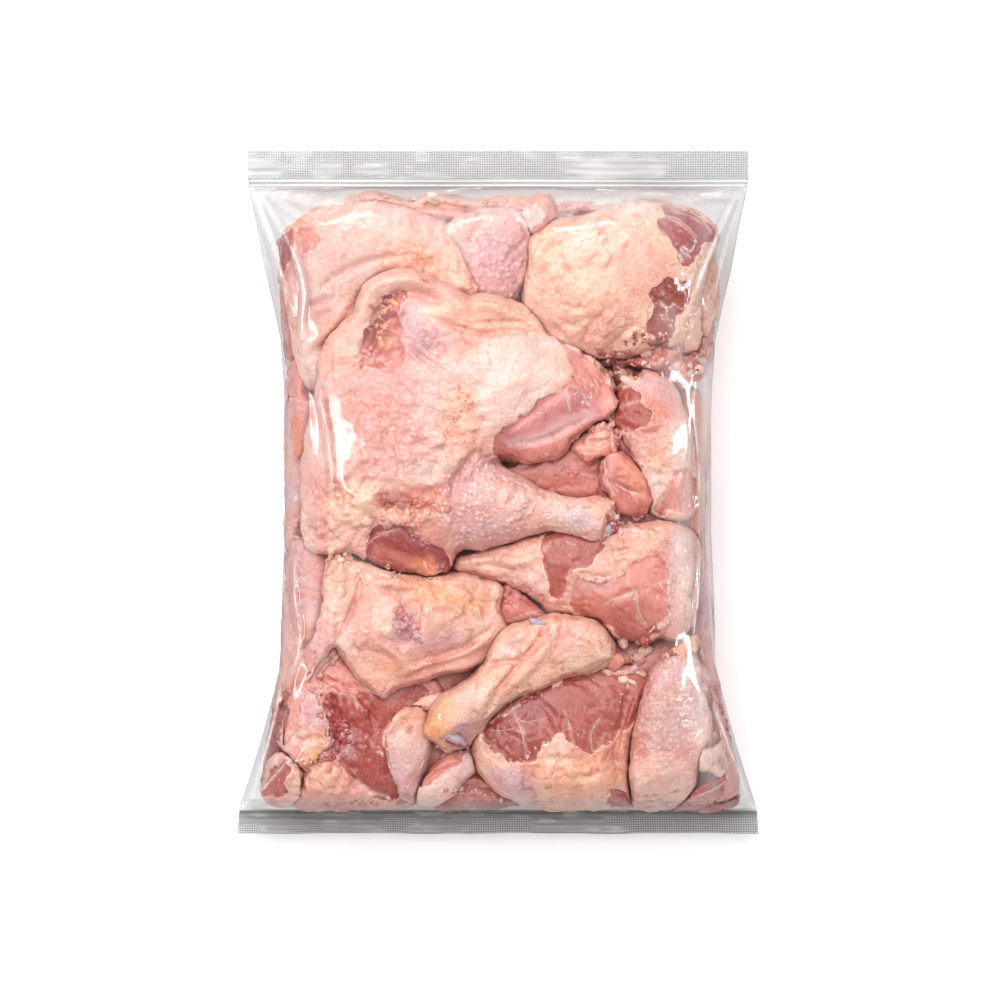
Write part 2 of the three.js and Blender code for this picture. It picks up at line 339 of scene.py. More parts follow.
def build_form(spec, heap):
    """Mesh of one piece: the dome of its outline, its limbs, its folds and what it lies on."""
    reach = []
    if "outline" in spec:
        outline = curve(spec["outline"], closed=True)
        reach.append(outline)
    for path in spec.get("limbs", []):
        p = np.array(path)
        reach.append(np.vstack([p[:, :2] - p[:, 3:], p[:, :2] + p[:, 3:]]))
    corners = np.vstack(reach)
    low, high = corners.min(0) - 3, corners.max(0) + 3
    voxel = COARSE_VOXEL if spec.get("hidden") else VOXEL
    xs = np.arange(low[0], high[0], voxel)
    ys = np.arange(low[1], high[1], voxel)
    x, y = np.meshgrid(xs, ys, indexing="ij")
    ground = heap.at(x, y)
    soft = sample(blurred(heap.height, 4), heap.x0, heap.y0, PLAN_STEP, x, y)
    top = spec["top"]
    under = spec.get("under", 13.0)
    flat = np.stack([x.ravel(), y.ravel(), np.full(x.size, 3.0 * top)], axis=1)
    wave = layered(flat, 24.0, seed=int(top * 10), layers=2).reshape(x.shape)
    rise = wave * spec.get("wave", 1.2)
    fields = []
    zs = np.arange(max(ground.min() - 2, 0), top + 8 + np.abs(rise).max(), voxel)
    z = zs[None, None, :]
    lift = np.zeros(x.shape)
    if "outline" in spec:
        stray = spec.get("stray", 1.5 if spec.get("all_flesh") else 0.9)
        shift_x = layered(flat, 7.0, 83, 2).reshape(x.shape) * stray
        shift_y = layered(flat, 7.0, 89, 2).reshape(x.shape) * stray
        distance = inside_distance(x + shift_x, y + shift_y, outline) + spec.get("grow", 0.0)
        coarse = inflate(distance > 0)
        dome = np.maximum(coarse, 0) ** spec.get("full", 0.7)
        edge = smoothstep(-0.5, 6, distance)
        squared = np.where(distance > 0, dome * np.clip(distance / 2.2, 0, 1), distance / 6)
        lift = sum_folds(x, y, spec.get("folds", [])) * edge
        lift += sum_bumps(x, y, spec.get("bumps", [])) * edge
        rim = np.minimum(np.maximum(spec["rim"], soft + spec.get("above", 1.5)), top - 9) + 0 * x
        rim = rim + rise
        upper = (top + rise - rim)[..., None]
        shifted = z - rim[..., None] - lift[..., None]
        height = np.where(shifted > 0, upper, under)
        fields.append(squared[..., None] - (shifted / height) ** 2)
    for path in spec.get("limbs", []):
        gap, centre, radius = drum_field(x, y, path)
        fold = sum_folds(x, y, spec.get("folds", []))
        tall = (z - centre[..., None] - fold[..., None]) / LIMB_FLATNESS
        fields.append(1 - (gap[..., None] + tall ** 2) / radius[..., None] ** 2)
    field = fields[0]
    for other in fields[1:]:
        field = 0.5 * (field + other + np.sqrt((field - other) ** 2 + spec.get("blend", 0.12)))
    for (px, py, pz), (nx, ny, nz) in spec.get("cuts", []):
        plane = (px - x)[..., None] * nx + (py - y)[..., None] * ny + (pz - z) * nz
        field = np.minimum(field, plane / 5)
    cap = heap.limit_at(x, y)[..., None] + np.minimum(lift, 0)[..., None]
    room = (cap - z) / 9
    field = 0.5 * (field + room - np.sqrt((field - room) ** 2 + 0.004))
    field = np.minimum(field, (z - ground[..., None] - 0.25) / 6)
    field[[0, -1]] = -1
    field[:, [0, -1]] = -1
    field[:, :, [0, -1]] = -1
    grid = openvdb.FloatGrid(1.0)
    grid.copyFromArray((-field).astype(np.float32))
    grid.transform = openvdb.createLinearTransform(voxelSize=voxel)
    points, quads = grid.convertToQuads(isovalue=0.0)
    points, quads = largest_part(points.astype(float), quads.astype(np.int64))
    points += np.array([xs[0], ys[0], zs[0]])
    return points, quads


def sum_folds(x, y, folds):
    """Raised rolls and pressed creases: each has a height, a half width and a route."""
    total = np.zeros(np.shape(x))
    for height, width, route in folds:
        line = curve(route, closed=False)
        gap, where = nearest(x, y, line)
        ends = np.sin(np.pi * np.clip(where / (len(line) - 1), 0.06, 0.94)) ** 0.5
        total += height * ends * np.exp(-(gap / width) ** 2)
    return total


def sum_bumps(x, y, bumps):
    """Soft swellings and hollows: each has x, y, radius and height."""
    total = np.zeros(np.shape(x))
    for bx, by, radius, height in bumps:
        total += height * np.exp(-((x - bx) ** 2 + (y - by) ** 2) / radius ** 2)
    return total


def raise_heap(heap, points, quads):
    """The heap's height after a piece is laid on it."""
    for a, b, c in ((0, 1, 2), (0, 2, 3)):
        corners = points[quads[:, [a, b, c]]]
        between = (corners + np.roll(corners, 1, axis=1)) / 2
        for p in (*corners.swapaxes(0, 1), *between.swapaxes(0, 1), corners.mean(1)):
            i = np.rint((p[:, 0] - heap.x0) / PLAN_STEP).astype(int)
            j = np.rint((p[:, 1] - heap.y0) / PLAN_STEP).astype(int)
            i = np.clip(i, 0, heap.height.shape[0] - 1)
            j = np.clip(j, 0, heap.height.shape[1] - 1)
            np.maximum.at(heap.height, (i, j), p[:, 2])


def paint(spec, points):
    """Colour and masks of each vertex of a piece, from its named patches."""
    flat = points.copy()
    flat[:, 2] *= 0.5
    wander = np.stack([layered(flat, 9.0, 3), layered(flat, 9.0, 5)], axis=1) * PATCH_WANDER
    x, y = points[:, 0] + wander[:, 0], points[:, 1] + wander[:, 1]
    tint = np.tile(linear(spec["skin"]), (len(points), 1))
    second = linear(spec.get("skin2", spec["skin"]))
    mix = smoothstep(-0.35, 0.5, layered(flat, 17.0, 21))[:, None]
    tint = tint * (1 - mix) + second * mix
    flesh = np.full(len(points), 1.0 if spec.get("all_flesh") else 0.0)
    flesh_tint = np.tile(linear(spec.get("meat", "flesh")), (len(points), 1))
    for colour, strength, soft, outline in spec.get("stains", []):
        area = inside_distance(x, y, curve(outline, closed=True))
        share = (smoothstep(-soft, soft, area) * strength)[:, None]
        tint = tint * (1 - share) + linear(colour) * share
        flesh_tint = flesh_tint * (1 - share) + linear(colour) * share
    for colour, outline in spec.get("meats", []):
        area = inside_distance(x, y, curve(outline, closed=True))
        flesh = np.maximum(flesh, np.clip(0.5 + area / 7.0, 0, 1))
        share = smoothstep(-3.5, 1.0, area)[:, None]
        flesh_tint = flesh_tint * (1 - share) + linear(colour) * share
    for colour, outline in spec.get("skins", []):
        area = inside_distance(x, y, curve(outline, closed=True))
        flesh = np.minimum(flesh, np.clip(0.5 - area / 7.0, 0, 1))
        share = smoothstep(-1.0, 3.5, area)[:, None]
        tint = tint * (1 - share) + linear(colour) * share
    flesh = flesh + layered(points, 5.0, 61, 3) * 1.4 * flesh * (1 - flesh)
    for colour, strength, width, route in spec.get("veins", []):
        gap, _ = nearest(x, y, curve(route, closed=False))
        share = (np.exp(-(gap / width) ** 2) * strength)[:, None]
        tint = tint * (1 - share) + linear(colour) * share
        flesh_tint = flesh_tint * (1 - share) + linear(colour) * share
    pores = np.full(len(points), spec.get("pores", 0.0))
    for strength, soft, outline in spec.get("pored", []):
        area = inside_distance(x, y, curve(outline, closed=True))
        pores = np.maximum(pores, smoothstep(-soft, soft, area) * strength)
    return tint, flesh, flesh_tint, pores


def add_mesh(name, points, faces, material):
    """A mesh object of a piece, from points in millimetres."""
    mesh = bpy.data.meshes.new(name)
    mesh.from_pydata(points * MM, [], faces)
    mesh.update()
    mesh.shade_smooth()
    mesh.materials.append(material)
    piece = bpy.data.objects.new(name, mesh)
    bpy.context.scene.collection.objects.link(piece)
    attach(piece, "root")
    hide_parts("filled_bag")
    return piece


def set_colour(mesh, name, values):
    """Gives a mesh one colour for each vertex."""
    attribute = mesh.attributes.new(name, "FLOAT_COLOR", "POINT")
    full = np.ones((len(values), 4), np.float32)
    full[:, :3] = values
    attribute.data.foreach_set("color", full.ravel())


def set_value(mesh, name, values):
    """Gives a mesh one number for each vertex."""
    attribute = mesh.attributes.new(name, "FLOAT", "POINT")
    attribute.data.foreach_set("value", np.asarray(values, np.float32))


class Nodes:
    """A material's node tree, filled one node at a time."""

    def __init__(self, name):
        self.material = bpy.data.materials.new(name)
        self.material.use_nodes = True
        self.tree = self.material.node_tree
        self.tree.nodes.clear()
        self.output = self.tree.nodes.new("ShaderNodeOutputMaterial")

    def add(self, kind, inputs=None, **settings):
        """A new node of a kind, with its settings and with values or links for its inputs."""
        made = self.tree.nodes.new("ShaderNode" + kind)
        for key, value in settings.items():
            setattr(made, key, value)
        for key, value in (inputs or {}).items():
            self.put(made.inputs[key], value)
        return made

    def put(self, socket, value):
        """Links a socket, or sets its value."""
        if isinstance(value, bpy.types.NodeSocket):
            self.tree.links.new(value, socket)
        else:
            socket.default_value = value

    def math(self, operation, a, b=0.0, c=0.0, clamp=False):
        """The result of a sum on numbers or sockets."""
        made = self.add("Math", {0: a, 1: b, 2: c}, operation=operation, use_clamp=clamp)
        return made.outputs[0]

    def mix(self, share, a, b, blend="MIX"):
        """Colour a with a share of b."""
        made = self.add("Mix", data_type="RGBA", blend_type=blend)
        self.put(made.inputs[0], share)
        self.put(made.inputs[6], a)
        self.put(made.inputs[7], b)
        return made.outputs[2]

    def over(self, base, mask, strength, colour):
        """The base with a colour laid on it where the mask is."""
        return self.mix(self.math("MULTIPLY", mask, strength), base, colour)

    def stained(self, base, mask, strength, name):
        """The base darkened by a named colour where the mask is."""
        return self.over(base, mask, strength, self.mix(1.0, base, colour4(name), "MULTIPLY"))

    def ramp(self, value, low, high):
        """From 0 at low to 1 at high, with soft ends."""
        made = self.add("MapRange", {"Value": value, "From Min": low, "From Max": high},
                        interpolation_type="SMOOTHSTEP", clamp=True)
        return made.outputs["Result"]

    def noise(self, place, scale, detail=2.0, rough=0.5):
        """Cloudy noise from 0 to 1."""
        made = self.add("TexNoise", {"Vector": place, "Scale": scale, "Detail": detail,
                                     "Roughness": rough})
        return made.outputs["Fac"]

    def dots(self, place, scale, random):
        """Distance to the nearest of many scattered points."""
        made = self.add("TexVoronoi", {"Vector": place, "Scale": scale, "Randomness": random},
                        feature="F1")
        return made.outputs["Distance"]

    def finish(self, shader):
        """The material, with its surface linked."""
        self.tree.links.new(shader, self.output.inputs["Surface"])
        return self.material


def colour4(name, gain=1.0):
    """A named colour for a node's colour input."""
    return tuple(np.clip(linear(name) * gain, 0, 1)) + (1.0,)


def chicken_material():
    """Wet skin and flesh: the vertex colours with mottling, pores and fibres, a torn edge between, and
    painted shade in creases and under other pieces.
    """
    n = Nodes("raw_chicken")
    place = n.add("TexCoord").outputs["Object"]
    tint = n.add("Attribute", attribute_name="tint").outputs["Color"]
    flesh_tint = n.add("Attribute", attribute_name="flesh_tint").outputs["Color"]
    flesh = n.add("Attribute", attribute_name="flesh").outputs["Fac"]
    pores = n.add("Attribute", attribute_name="pores").outputs["Fac"]
    depth = n.add("Attribute", attribute_name="depth").outputs["Fac"]

    torn = n.noise(place, 260.0, 4.0, 0.65)
    edge = n.math("ADD", flesh, n.math("MULTIPLY", n.math("SUBTRACT", torn, 0.5), 0.36))
    is_flesh = n.ramp(edge, 0.475, 0.535)
    rim = n.math("MULTIPLY", n.ramp(edge, 0.36, 0.475), n.math("SUBTRACT", 1.0, is_flesh))

    mottle = n.ramp(n.noise(place, 115.0, 4.0, 0.62), 0.36, 0.66)
    fine = n.noise(place, 620.0, 2.0, 0.65)
    skin = n.stained(tint, mottle, 0.40, "pink")
    wide = n.ramp(n.noise(place, 42.0, 3.0, 0.55), 0.42, 0.66)
    skin = n.stained(skin, wide, 0.30, "apricot")
    drawn = n.add("Mapping", {"Vector": place, "Scale": (1.0, 1.25, 1.0), "Rotation": (0, 0, 0.5)})
    crepe = n.noise(drawn.outputs["Vector"], 420.0, 3.0, 0.55)
    crease = n.ramp(n.math("ABSOLUTE", n.math("SUBTRACT", crepe, 0.5)), 0.045, 0.0)
    skin = n.stained(skin, crease, 0.16, "rose")
    skin = n.over(skin, n.ramp(crepe, 0.56, 0.72), 0.20, colour4("white"))
    skin = n.over(skin, n.ramp(fine, 0.5, 0.75), 0.22, colour4("white"))
    skin = n.over(skin, n.ramp(fine, 0.5, 0.25), 0.22, colour4("rose"))
    swirl = n.add("TexNoise", {"Vector": place, "Scale": 160.0, "Detail": 3.0}).outputs["Color"]
    bent = n.add("VectorMath", {0: swirl, 1: (0.0034, 0.0034, 0.0034), 2: place},
                 operation="MULTIPLY_ADD")
    cells = n.add("TexVoronoi", {"Vector": bent.outputs["Vector"], "Scale": 470.0},
                  feature="DISTANCE_TO_EDGE").outputs["Distance"]
    grained = n.ramp(n.noise(place, 60.0, 3.0, 0.6), 0.42, 0.60)
    lines = n.math("MULTIPLY", n.ramp(cells, 0.11, 0.0), grained)
    islands = n.math("MULTIPLY", n.ramp(cells, 0.12, 0.45), grained)
    skin = n.stained(skin, lines, 0.22, "rose")
    skin = n.over(skin, islands, 0.26, colour4("cream", 1.08))
    spots = n.dots(place, 330.0, 0.7)
    skin = n.over(skin, n.math("MULTIPLY", n.ramp(spots, 0.50, 0.16), pores), 0.62, colour4("white"))
    pit = n.ramp(n.dots(place, 640.0, 0.85), 0.34, 0.10)
    skin = n.stained(skin, pit, 0.20, "salmon")
    skin = n.over(skin, n.ramp(n.dots(place, 95.0, 1.0), 0.07, 0.03), 0.55, colour4("red"))
    skin = n.over(skin, rim, 0.35, colour4("white"))

    stretch = n.add("Mapping", {"Vector": place, "Scale": (1.0, 0.35, 1.0), "Rotation": (0, 0, 0.6)})
    fibre = n.noise(stretch.outputs["Vector"], 480.0, 3.0, 0.6)
    cloud = n.noise(place, 70.0, 3.0, 0.55)
    meat = n.mix(n.ramp(cloud, 0.35, 0.7), flesh_tint, n.mix(0.4, flesh_tint, colour4("red")))
    meat = n.over(meat, n.ramp(cloud, 0.55, 0.3), 0.16, colour4("salmon", 1.1))
    meat = n.over(meat, n.ramp(fibre, 0.52, 0.74), 0.24, colour4("rose"))
    meat = n.over(meat, n.ramp(fibre, 0.48, 0.30), 0.28, colour4("red"))
    thread = n.math("ABSOLUTE", n.math("SUBTRACT", n.noise(place, 62.0, 3.0, 0.6), 0.5))
    meat = n.over(meat, n.ramp(thread, 0.010, 0.002), 0.14, colour4("white"))

    colour = n.mix(is_flesh, skin, meat)
    colour = n.mix(1.0, colour, colour4("dusk"), "MULTIPLY")
    # painted shade: creases and what lies under other pieces darkened to a deep red
    colour = n.stained(colour, depth, 0.92, "deep")

    goose = n.ramp(spots, 0.55, 0.05)
    wrinkle = n.noise(place, 260.0, 2.0, 0.6)
    raised = n.math("MULTIPLY", goose, n.math("ADD", n.math("MULTIPLY", pores, 0.26), 0.14))
    creped = n.math("SUBTRACT", n.math("MULTIPLY", crepe, 0.60), n.math("MULTIPLY", pit, 0.22))
    skin_relief = n.math("ADD", raised, creped)
    flesh_relief = n.math("ADD", n.math("MULTIPLY", fibre, 0.35), n.math("MULTIPLY", wrinkle, 0.25))
    relief = n.add("Mix", data_type="FLOAT")
    n.put(relief.inputs[0], is_flesh)
    n.put(relief.inputs[2], skin_relief)
    n.put(relief.inputs[3], flesh_relief)
    bump = n.add("Bump", {"Strength": 0.85, "Distance": 0.0013, "Height": relief.outputs[0]})
    rough = n.math("ADD", n.math("MULTIPLY", is_flesh, -0.06), n.math("MULTIPLY", fine, 0.16))
    rough = n.math("ADD", rough, 0.26)
    shader = n.add("BsdfPrincipled", {
        "Base Color": colour,
        "Roughness": rough,
        "IOR": 1.4,
        "Specular IOR Level": 0.5,
        "Coat Weight": 0.30,
        "Coat Roughness": 0.12,
        "Subsurface Weight": 0.36,
        "Subsurface Radius": (1.0, 0.36, 0.22),
        "Subsurface Scale": 0.0042,
        "Normal": bump.outputs["Normal"],
    }, subsurface_method="BURLEY")
    return n.finish(shader.outputs["BSDF"])


def film_material():
    """Clear film: see-through face on, greyer where it turns away, with painted highlight as white along
    its crease ridges and glare bands, and painted shade beside the creases.
    """
    n = Nodes("clear_film")
    place = n.add("TexCoord").outputs["Object"]
    facing = n.add("LayerWeight", {"Blend": 0.5}).outputs["Facing"]
    crease_light = n.add("Attribute", attribute_name="crease_light").outputs["Fac"]
    turned = n.math("POWER", facing, 2.2)
    clear = n.mix(turned, (0.975, 0.977, 0.977, 1), (0.42, 0.43, 0.435, 1))
    # painted shade: the film is greyer in the hollows beside its creases
    shaded = n.math("MULTIPLY", n.ramp(crease_light, 0.0, -0.8), 0.6)
    clear = n.mix(shaded, clear, (0.55, 0.56, 0.565, 1))
    through = n.add("BsdfTransparent", {"Color": clear}).outputs["BSDF"]
    crinkle = n.noise(place, 70.0, 1.0, 0.5)
    bump = n.add("Bump", {"Strength": 0.04, "Distance": 0.001, "Height": crinkle}).outputs["Normal"]
    gloss = n.add("BsdfGlossy", {"Color": (1, 1, 1, 1), "Roughness": 0.06, "Normal": bump}).outputs["BSDF"]
    shine = n.math("ADD", n.math("MULTIPLY", n.math("POWER", facing, 3.0), 0.16), 0.017, clamp=True)
    both = n.add("MixShader", {0: shine, 1: through, 2: gloss}).outputs["Shader"]
    # painted highlight: a white, lit-looking layer laid along the crease ridges and the glare bands, in
    # place of reflections
    white = n.add("BsdfTranslucent", {"Color": (1, 1, 1, 1)}).outputs["BSDF"]
    lit = n.add("BsdfDiffuse", {"Color": (1, 1, 1, 1)}).outputs["BSDF"]
    glare_shader = n.add("MixShader", {0: 0.4, 1: lit, 2: white}).outputs["Shader"]
    streak = n.noise(place, 90.0, 2.0, 0.6)
    glare_white = n.math("MULTIPLY", n.ramp(crease_light, 0.12, 0.9), n.ramp(streak, 0.25, 0.62))
    glare_haze = n.add("Attribute", attribute_name="glare_haze").outputs["Fac"]
    combed = n.add("Mapping", {"Vector": place, "Scale": (1.0, 0.12, 1.0)}).outputs["Vector"]
    strands = n.math("ADD", n.ramp(n.noise(combed, 130.0, 2.0, 0.6), 0.32, 0.68), 0.45)
    glare_haze = n.math("MULTIPLY", glare_haze, strands)
    glare_white = n.math("MAXIMUM", glare_white, glare_haze)
    both = n.add("MixShader", {0: n.math("MULTIPLY", glare_white, 0.8), 1: both, 2: glare_shader}).outputs["Shader"]
    return n.finish(both)


def seal_material():
    """Two films crimped together: see-through grey, white where the crimp has pressed them, with painted
    highlight on its tips and painted shade between them.
    """
    n = Nodes("crimped_seal")
    whitening_and_glint = n.add("Attribute", attribute_name="whitening_and_glint").outputs["Fac"]
    dense = n.add("Attribute", attribute_name="dense").outputs["Fac"]
    # the dark end of the grey serves as the film's own grey and as the painted shade between the crimp's
    # tips
    grey_and_shade = n.mix(dense, (0.16, 0.165, 0.17, 1), (0.075, 0.072, 0.072, 1))
    grey = n.mix(whitening_and_glint, grey_and_shade, (0.93, 0.94, 0.94, 1))
    body = n.add("BsdfPrincipled", {
        "Base Color": grey,
        "Roughness": 0.24,
        "IOR": 1.5,
        "Specular IOR Level": 0.7,
    }).outputs["BSDF"]
    through = n.add("BsdfTransparent", {"Color": (0.90, 0.905, 0.91, 1)}).outputs["BSDF"]
    solid = n.math("ADD", n.math("MULTIPLY", dense, 0.36), 0.56)
    both = n.add("MixShader", {0: solid, 1: through, 2: body}).outputs["Shader"]
    return n.finish(both)


def floor_material():
    """A plain white studio floor."""
    n = Nodes("white_floor")
    body = n.add("BsdfDiffuse", {"Color": (0.74, 0.74, 0.74, 1)}).outputs["BSDF"]
    glow = n.add("Emission", {"Color": (1, 1, 1, 1), "Strength": 0.34}).outputs["Emission"]
    both = n.add("AddShader", {0: body, 1: glow}).outputs["Shader"]
    return n.finish(both)


# The pieces of chicken, from the lowest to the topmost, in millimetres.
# rim is the height of a piece's edge, top that of its crown, and under how far it reaches down.
# The lower full is, the boxier the dome. wave is how much the crown sways, and above how far the rim
# clears what it lies on. grow widens the outline, stray shakes it, and hidden meshes it coarsely.
# folds are height, half width and route. bumps are x, y, radius and height. limbs are paths of x, y,
# z and radius, which blend melts into the dome. cuts are planes: a point and a direction each.
# stains are colour, strength, softness and outline. veins are colour, strength, width and route.
# meats are patches of bare flesh, skins are skin on them, and lumpy and pored are rough patches.
UNDER = [
    {"name": "under_top_left", "skin": "peach", "skin2": "pink", "rim": 22, "top": 62, "under": 21,
     "outline": [(-107, 112), (-98, 134), (-60, 142), (-15, 141), (-1, 122), (0, 80), (-40, 62),
                 (-95, 56), (-107, 82)],
     "meats": [("flesh", [(-111, 70), (-92, 66), (-88, 96), (-100, 112), (-112, 104)])]},
    {"name": "under_top_right", "skin": "peach", "skin2": "grey", "rim": 22, "top": 62, "under": 21,
     "outline": [(3, 138), (40, 142), (90, 140), (108, 124), (108, 96), (103, 64), (60, 58), (10, 64),
                 (2, 100)],
     "meats": [("salmon", [(86, 70), (108, 74), (112, 92), (100, 104), (84, 92)])]},
    {"name": "under_middle_left", "skin": "pink", "skin2": "lilac", "rim": 23, "top": 62, "under": 22,
     "outline": [(-103, 46), (-60, 58), (-10, 55), (-3, 5), (-16, -38), (-70, -40), (-102, -30),
                 (-105, 8)]},
    {"name": "under_middle_right", "skin": "peach", "skin2": "pink", "rim": 23, "top": 62, "under": 22,
     "outline": [(0, 55), (50, 53), (97, 50), (104, 18), (103, -28), (94, -58), (40, -60), (-3, -45),
                 (-1, 8)],
     "meats": [("flesh", [(84, -30), (108, -34), (108, 10), (92, 6)])]},
    {"name": "under_low_left", "skin": "pink", "skin2": "peach", "rim": 21, "top": 62, "under": 20,
     "outline": [(-102, -42), (-50, -46), (-8, -50), (0, -90), (-3, -148), (-60, -152), (-112, -150),
                 (-115, -130), (-107, -90)],
     "meats": [("red", [(-118, -110), (-98, -112), (-90, -140), (-112, -152), (-120, -136)])]},
    {"name": "under_low_right", "skin": "pink", "skin2": "rose", "rim": 21, "top": 62, "under": 20,
     "outline": [(3, -62), (50, -66), (96, -62), (107, -90), (115, -128), (114, -148), (70, -152),
                 (6, -151), (1, -110)],
     "meats": [("salmon", [(92, -96), (112, -100), (120, -140), (104, -150), (94, -126)])]},
]

EDGES = [
    {"name": "edge_left_upper", "skin": "pink", "skin2": "rose", "rim": 36, "top": 58,
     "outline": [(-105, 50), (-103, 64), (-97, 72), (-88, 68), (-84, 50), (-86, 30), (-92, 14),
                 (-98, 8), (-103, 22)],
     "bumps": [(-91, 51, 5, -6)],
     "meats": [("salmon", [(-106, 66), (-98, 70), (-92, 62), (-90, 50), (-96, 44), (-104, 48)]),
               ("blood", [(-95, 54), (-90, 56), (-88, 50), (-92, 46), (-96, 49)])],
     "stains": [("orange", 0.9, 3, [(-106, 40), (-98, 38), (-93, 24), (-96, 10), (-104, 16)])]},
    {"name": "edge_left_mid", "skin": "peach", "skin2": "lilac", "rim": 34, "top": 55,
     "outline": [(-105, 16), (-98, 23), (-88, 18), (-86, -10), (-90, -28), (-97, -32), (-102, -22),
                 (-104, 0)],
     "folds": [(-3, 1.6, [(-106, 6), (-100, 5), (-94, 3)])],
     "meats": [("red", [(-104, -2), (-98, -1), (-96, -14), (-99, -24), (-103, -16)])]},
    {"name": "edge_left_low", "skin": "lilac", "skin2": "rose", "rim": 36, "top": 62,
     "outline": [(-105, -30), (-99, -23), (-88, -26), (-76, -30), (-72, -45), (-76, -62), (-88, -74),
                 (-97, -74), (-103, -60), (-105, -45)],
     "stains": [("peach", 0.8, 4, [(-100, -62), (-84, -60), (-80, -72), (-92, -78)]),
                ("orange", 0.9, 2, [(-98, -67), (-92, -66), (-93, -74), (-98, -76)])]},
    {"name": "edge_right_upper", "skin": "peach", "skin2": "apricot", "rim": 36, "top": 58,
     "outline": [(94, 126), (103, 123), (109, 110), (109, 92), (105, 79), (98, 76), (93, 95)],
     "stains": [("orange", 0.8, 2, [(101, 118), (106, 112), (106, 100), (102, 104)])]},
    {"name": "edge_right_mid", "skin": "pale", "skin2": "pink", "rim": 34, "top": 58,
     "meat": "red",
     "outline": [(92, 28), (99, 24), (104, 10), (104, -8), (100, -20), (93, -18), (90, 5)]},
    {"name": "edge_right_low", "skin": "lilac", "skin2": "rose", "rim": 34, "top": 56,
     "outline": [(94, -34), (101, -40), (106, -52), (108, -68), (107, -84), (102, -88), (95, -80),
                 (92, -55)],
     "stains": [("grape", 0.6, 4, [(100, -48), (106, -52), (107, -66), (101, -66)])]},
    {"name": "edge_right_bottom", "skin": "rose", "skin2": "pink", "rim": 32, "top": 54,
     "outline": [(99, -84), (106, -92), (112, -110), (117, -130), (120, -146), (117, -153), (107, -155),
                 (100, -140), (97, -110)],
     "folds": [(-3, 2, [(102, -92), (104, -108), (110, -126), (113, -140)])],
     "meats": [("rose", [(103, -100), (110, -108), (114, -128), (108, -130), (103, -116)])]},
]

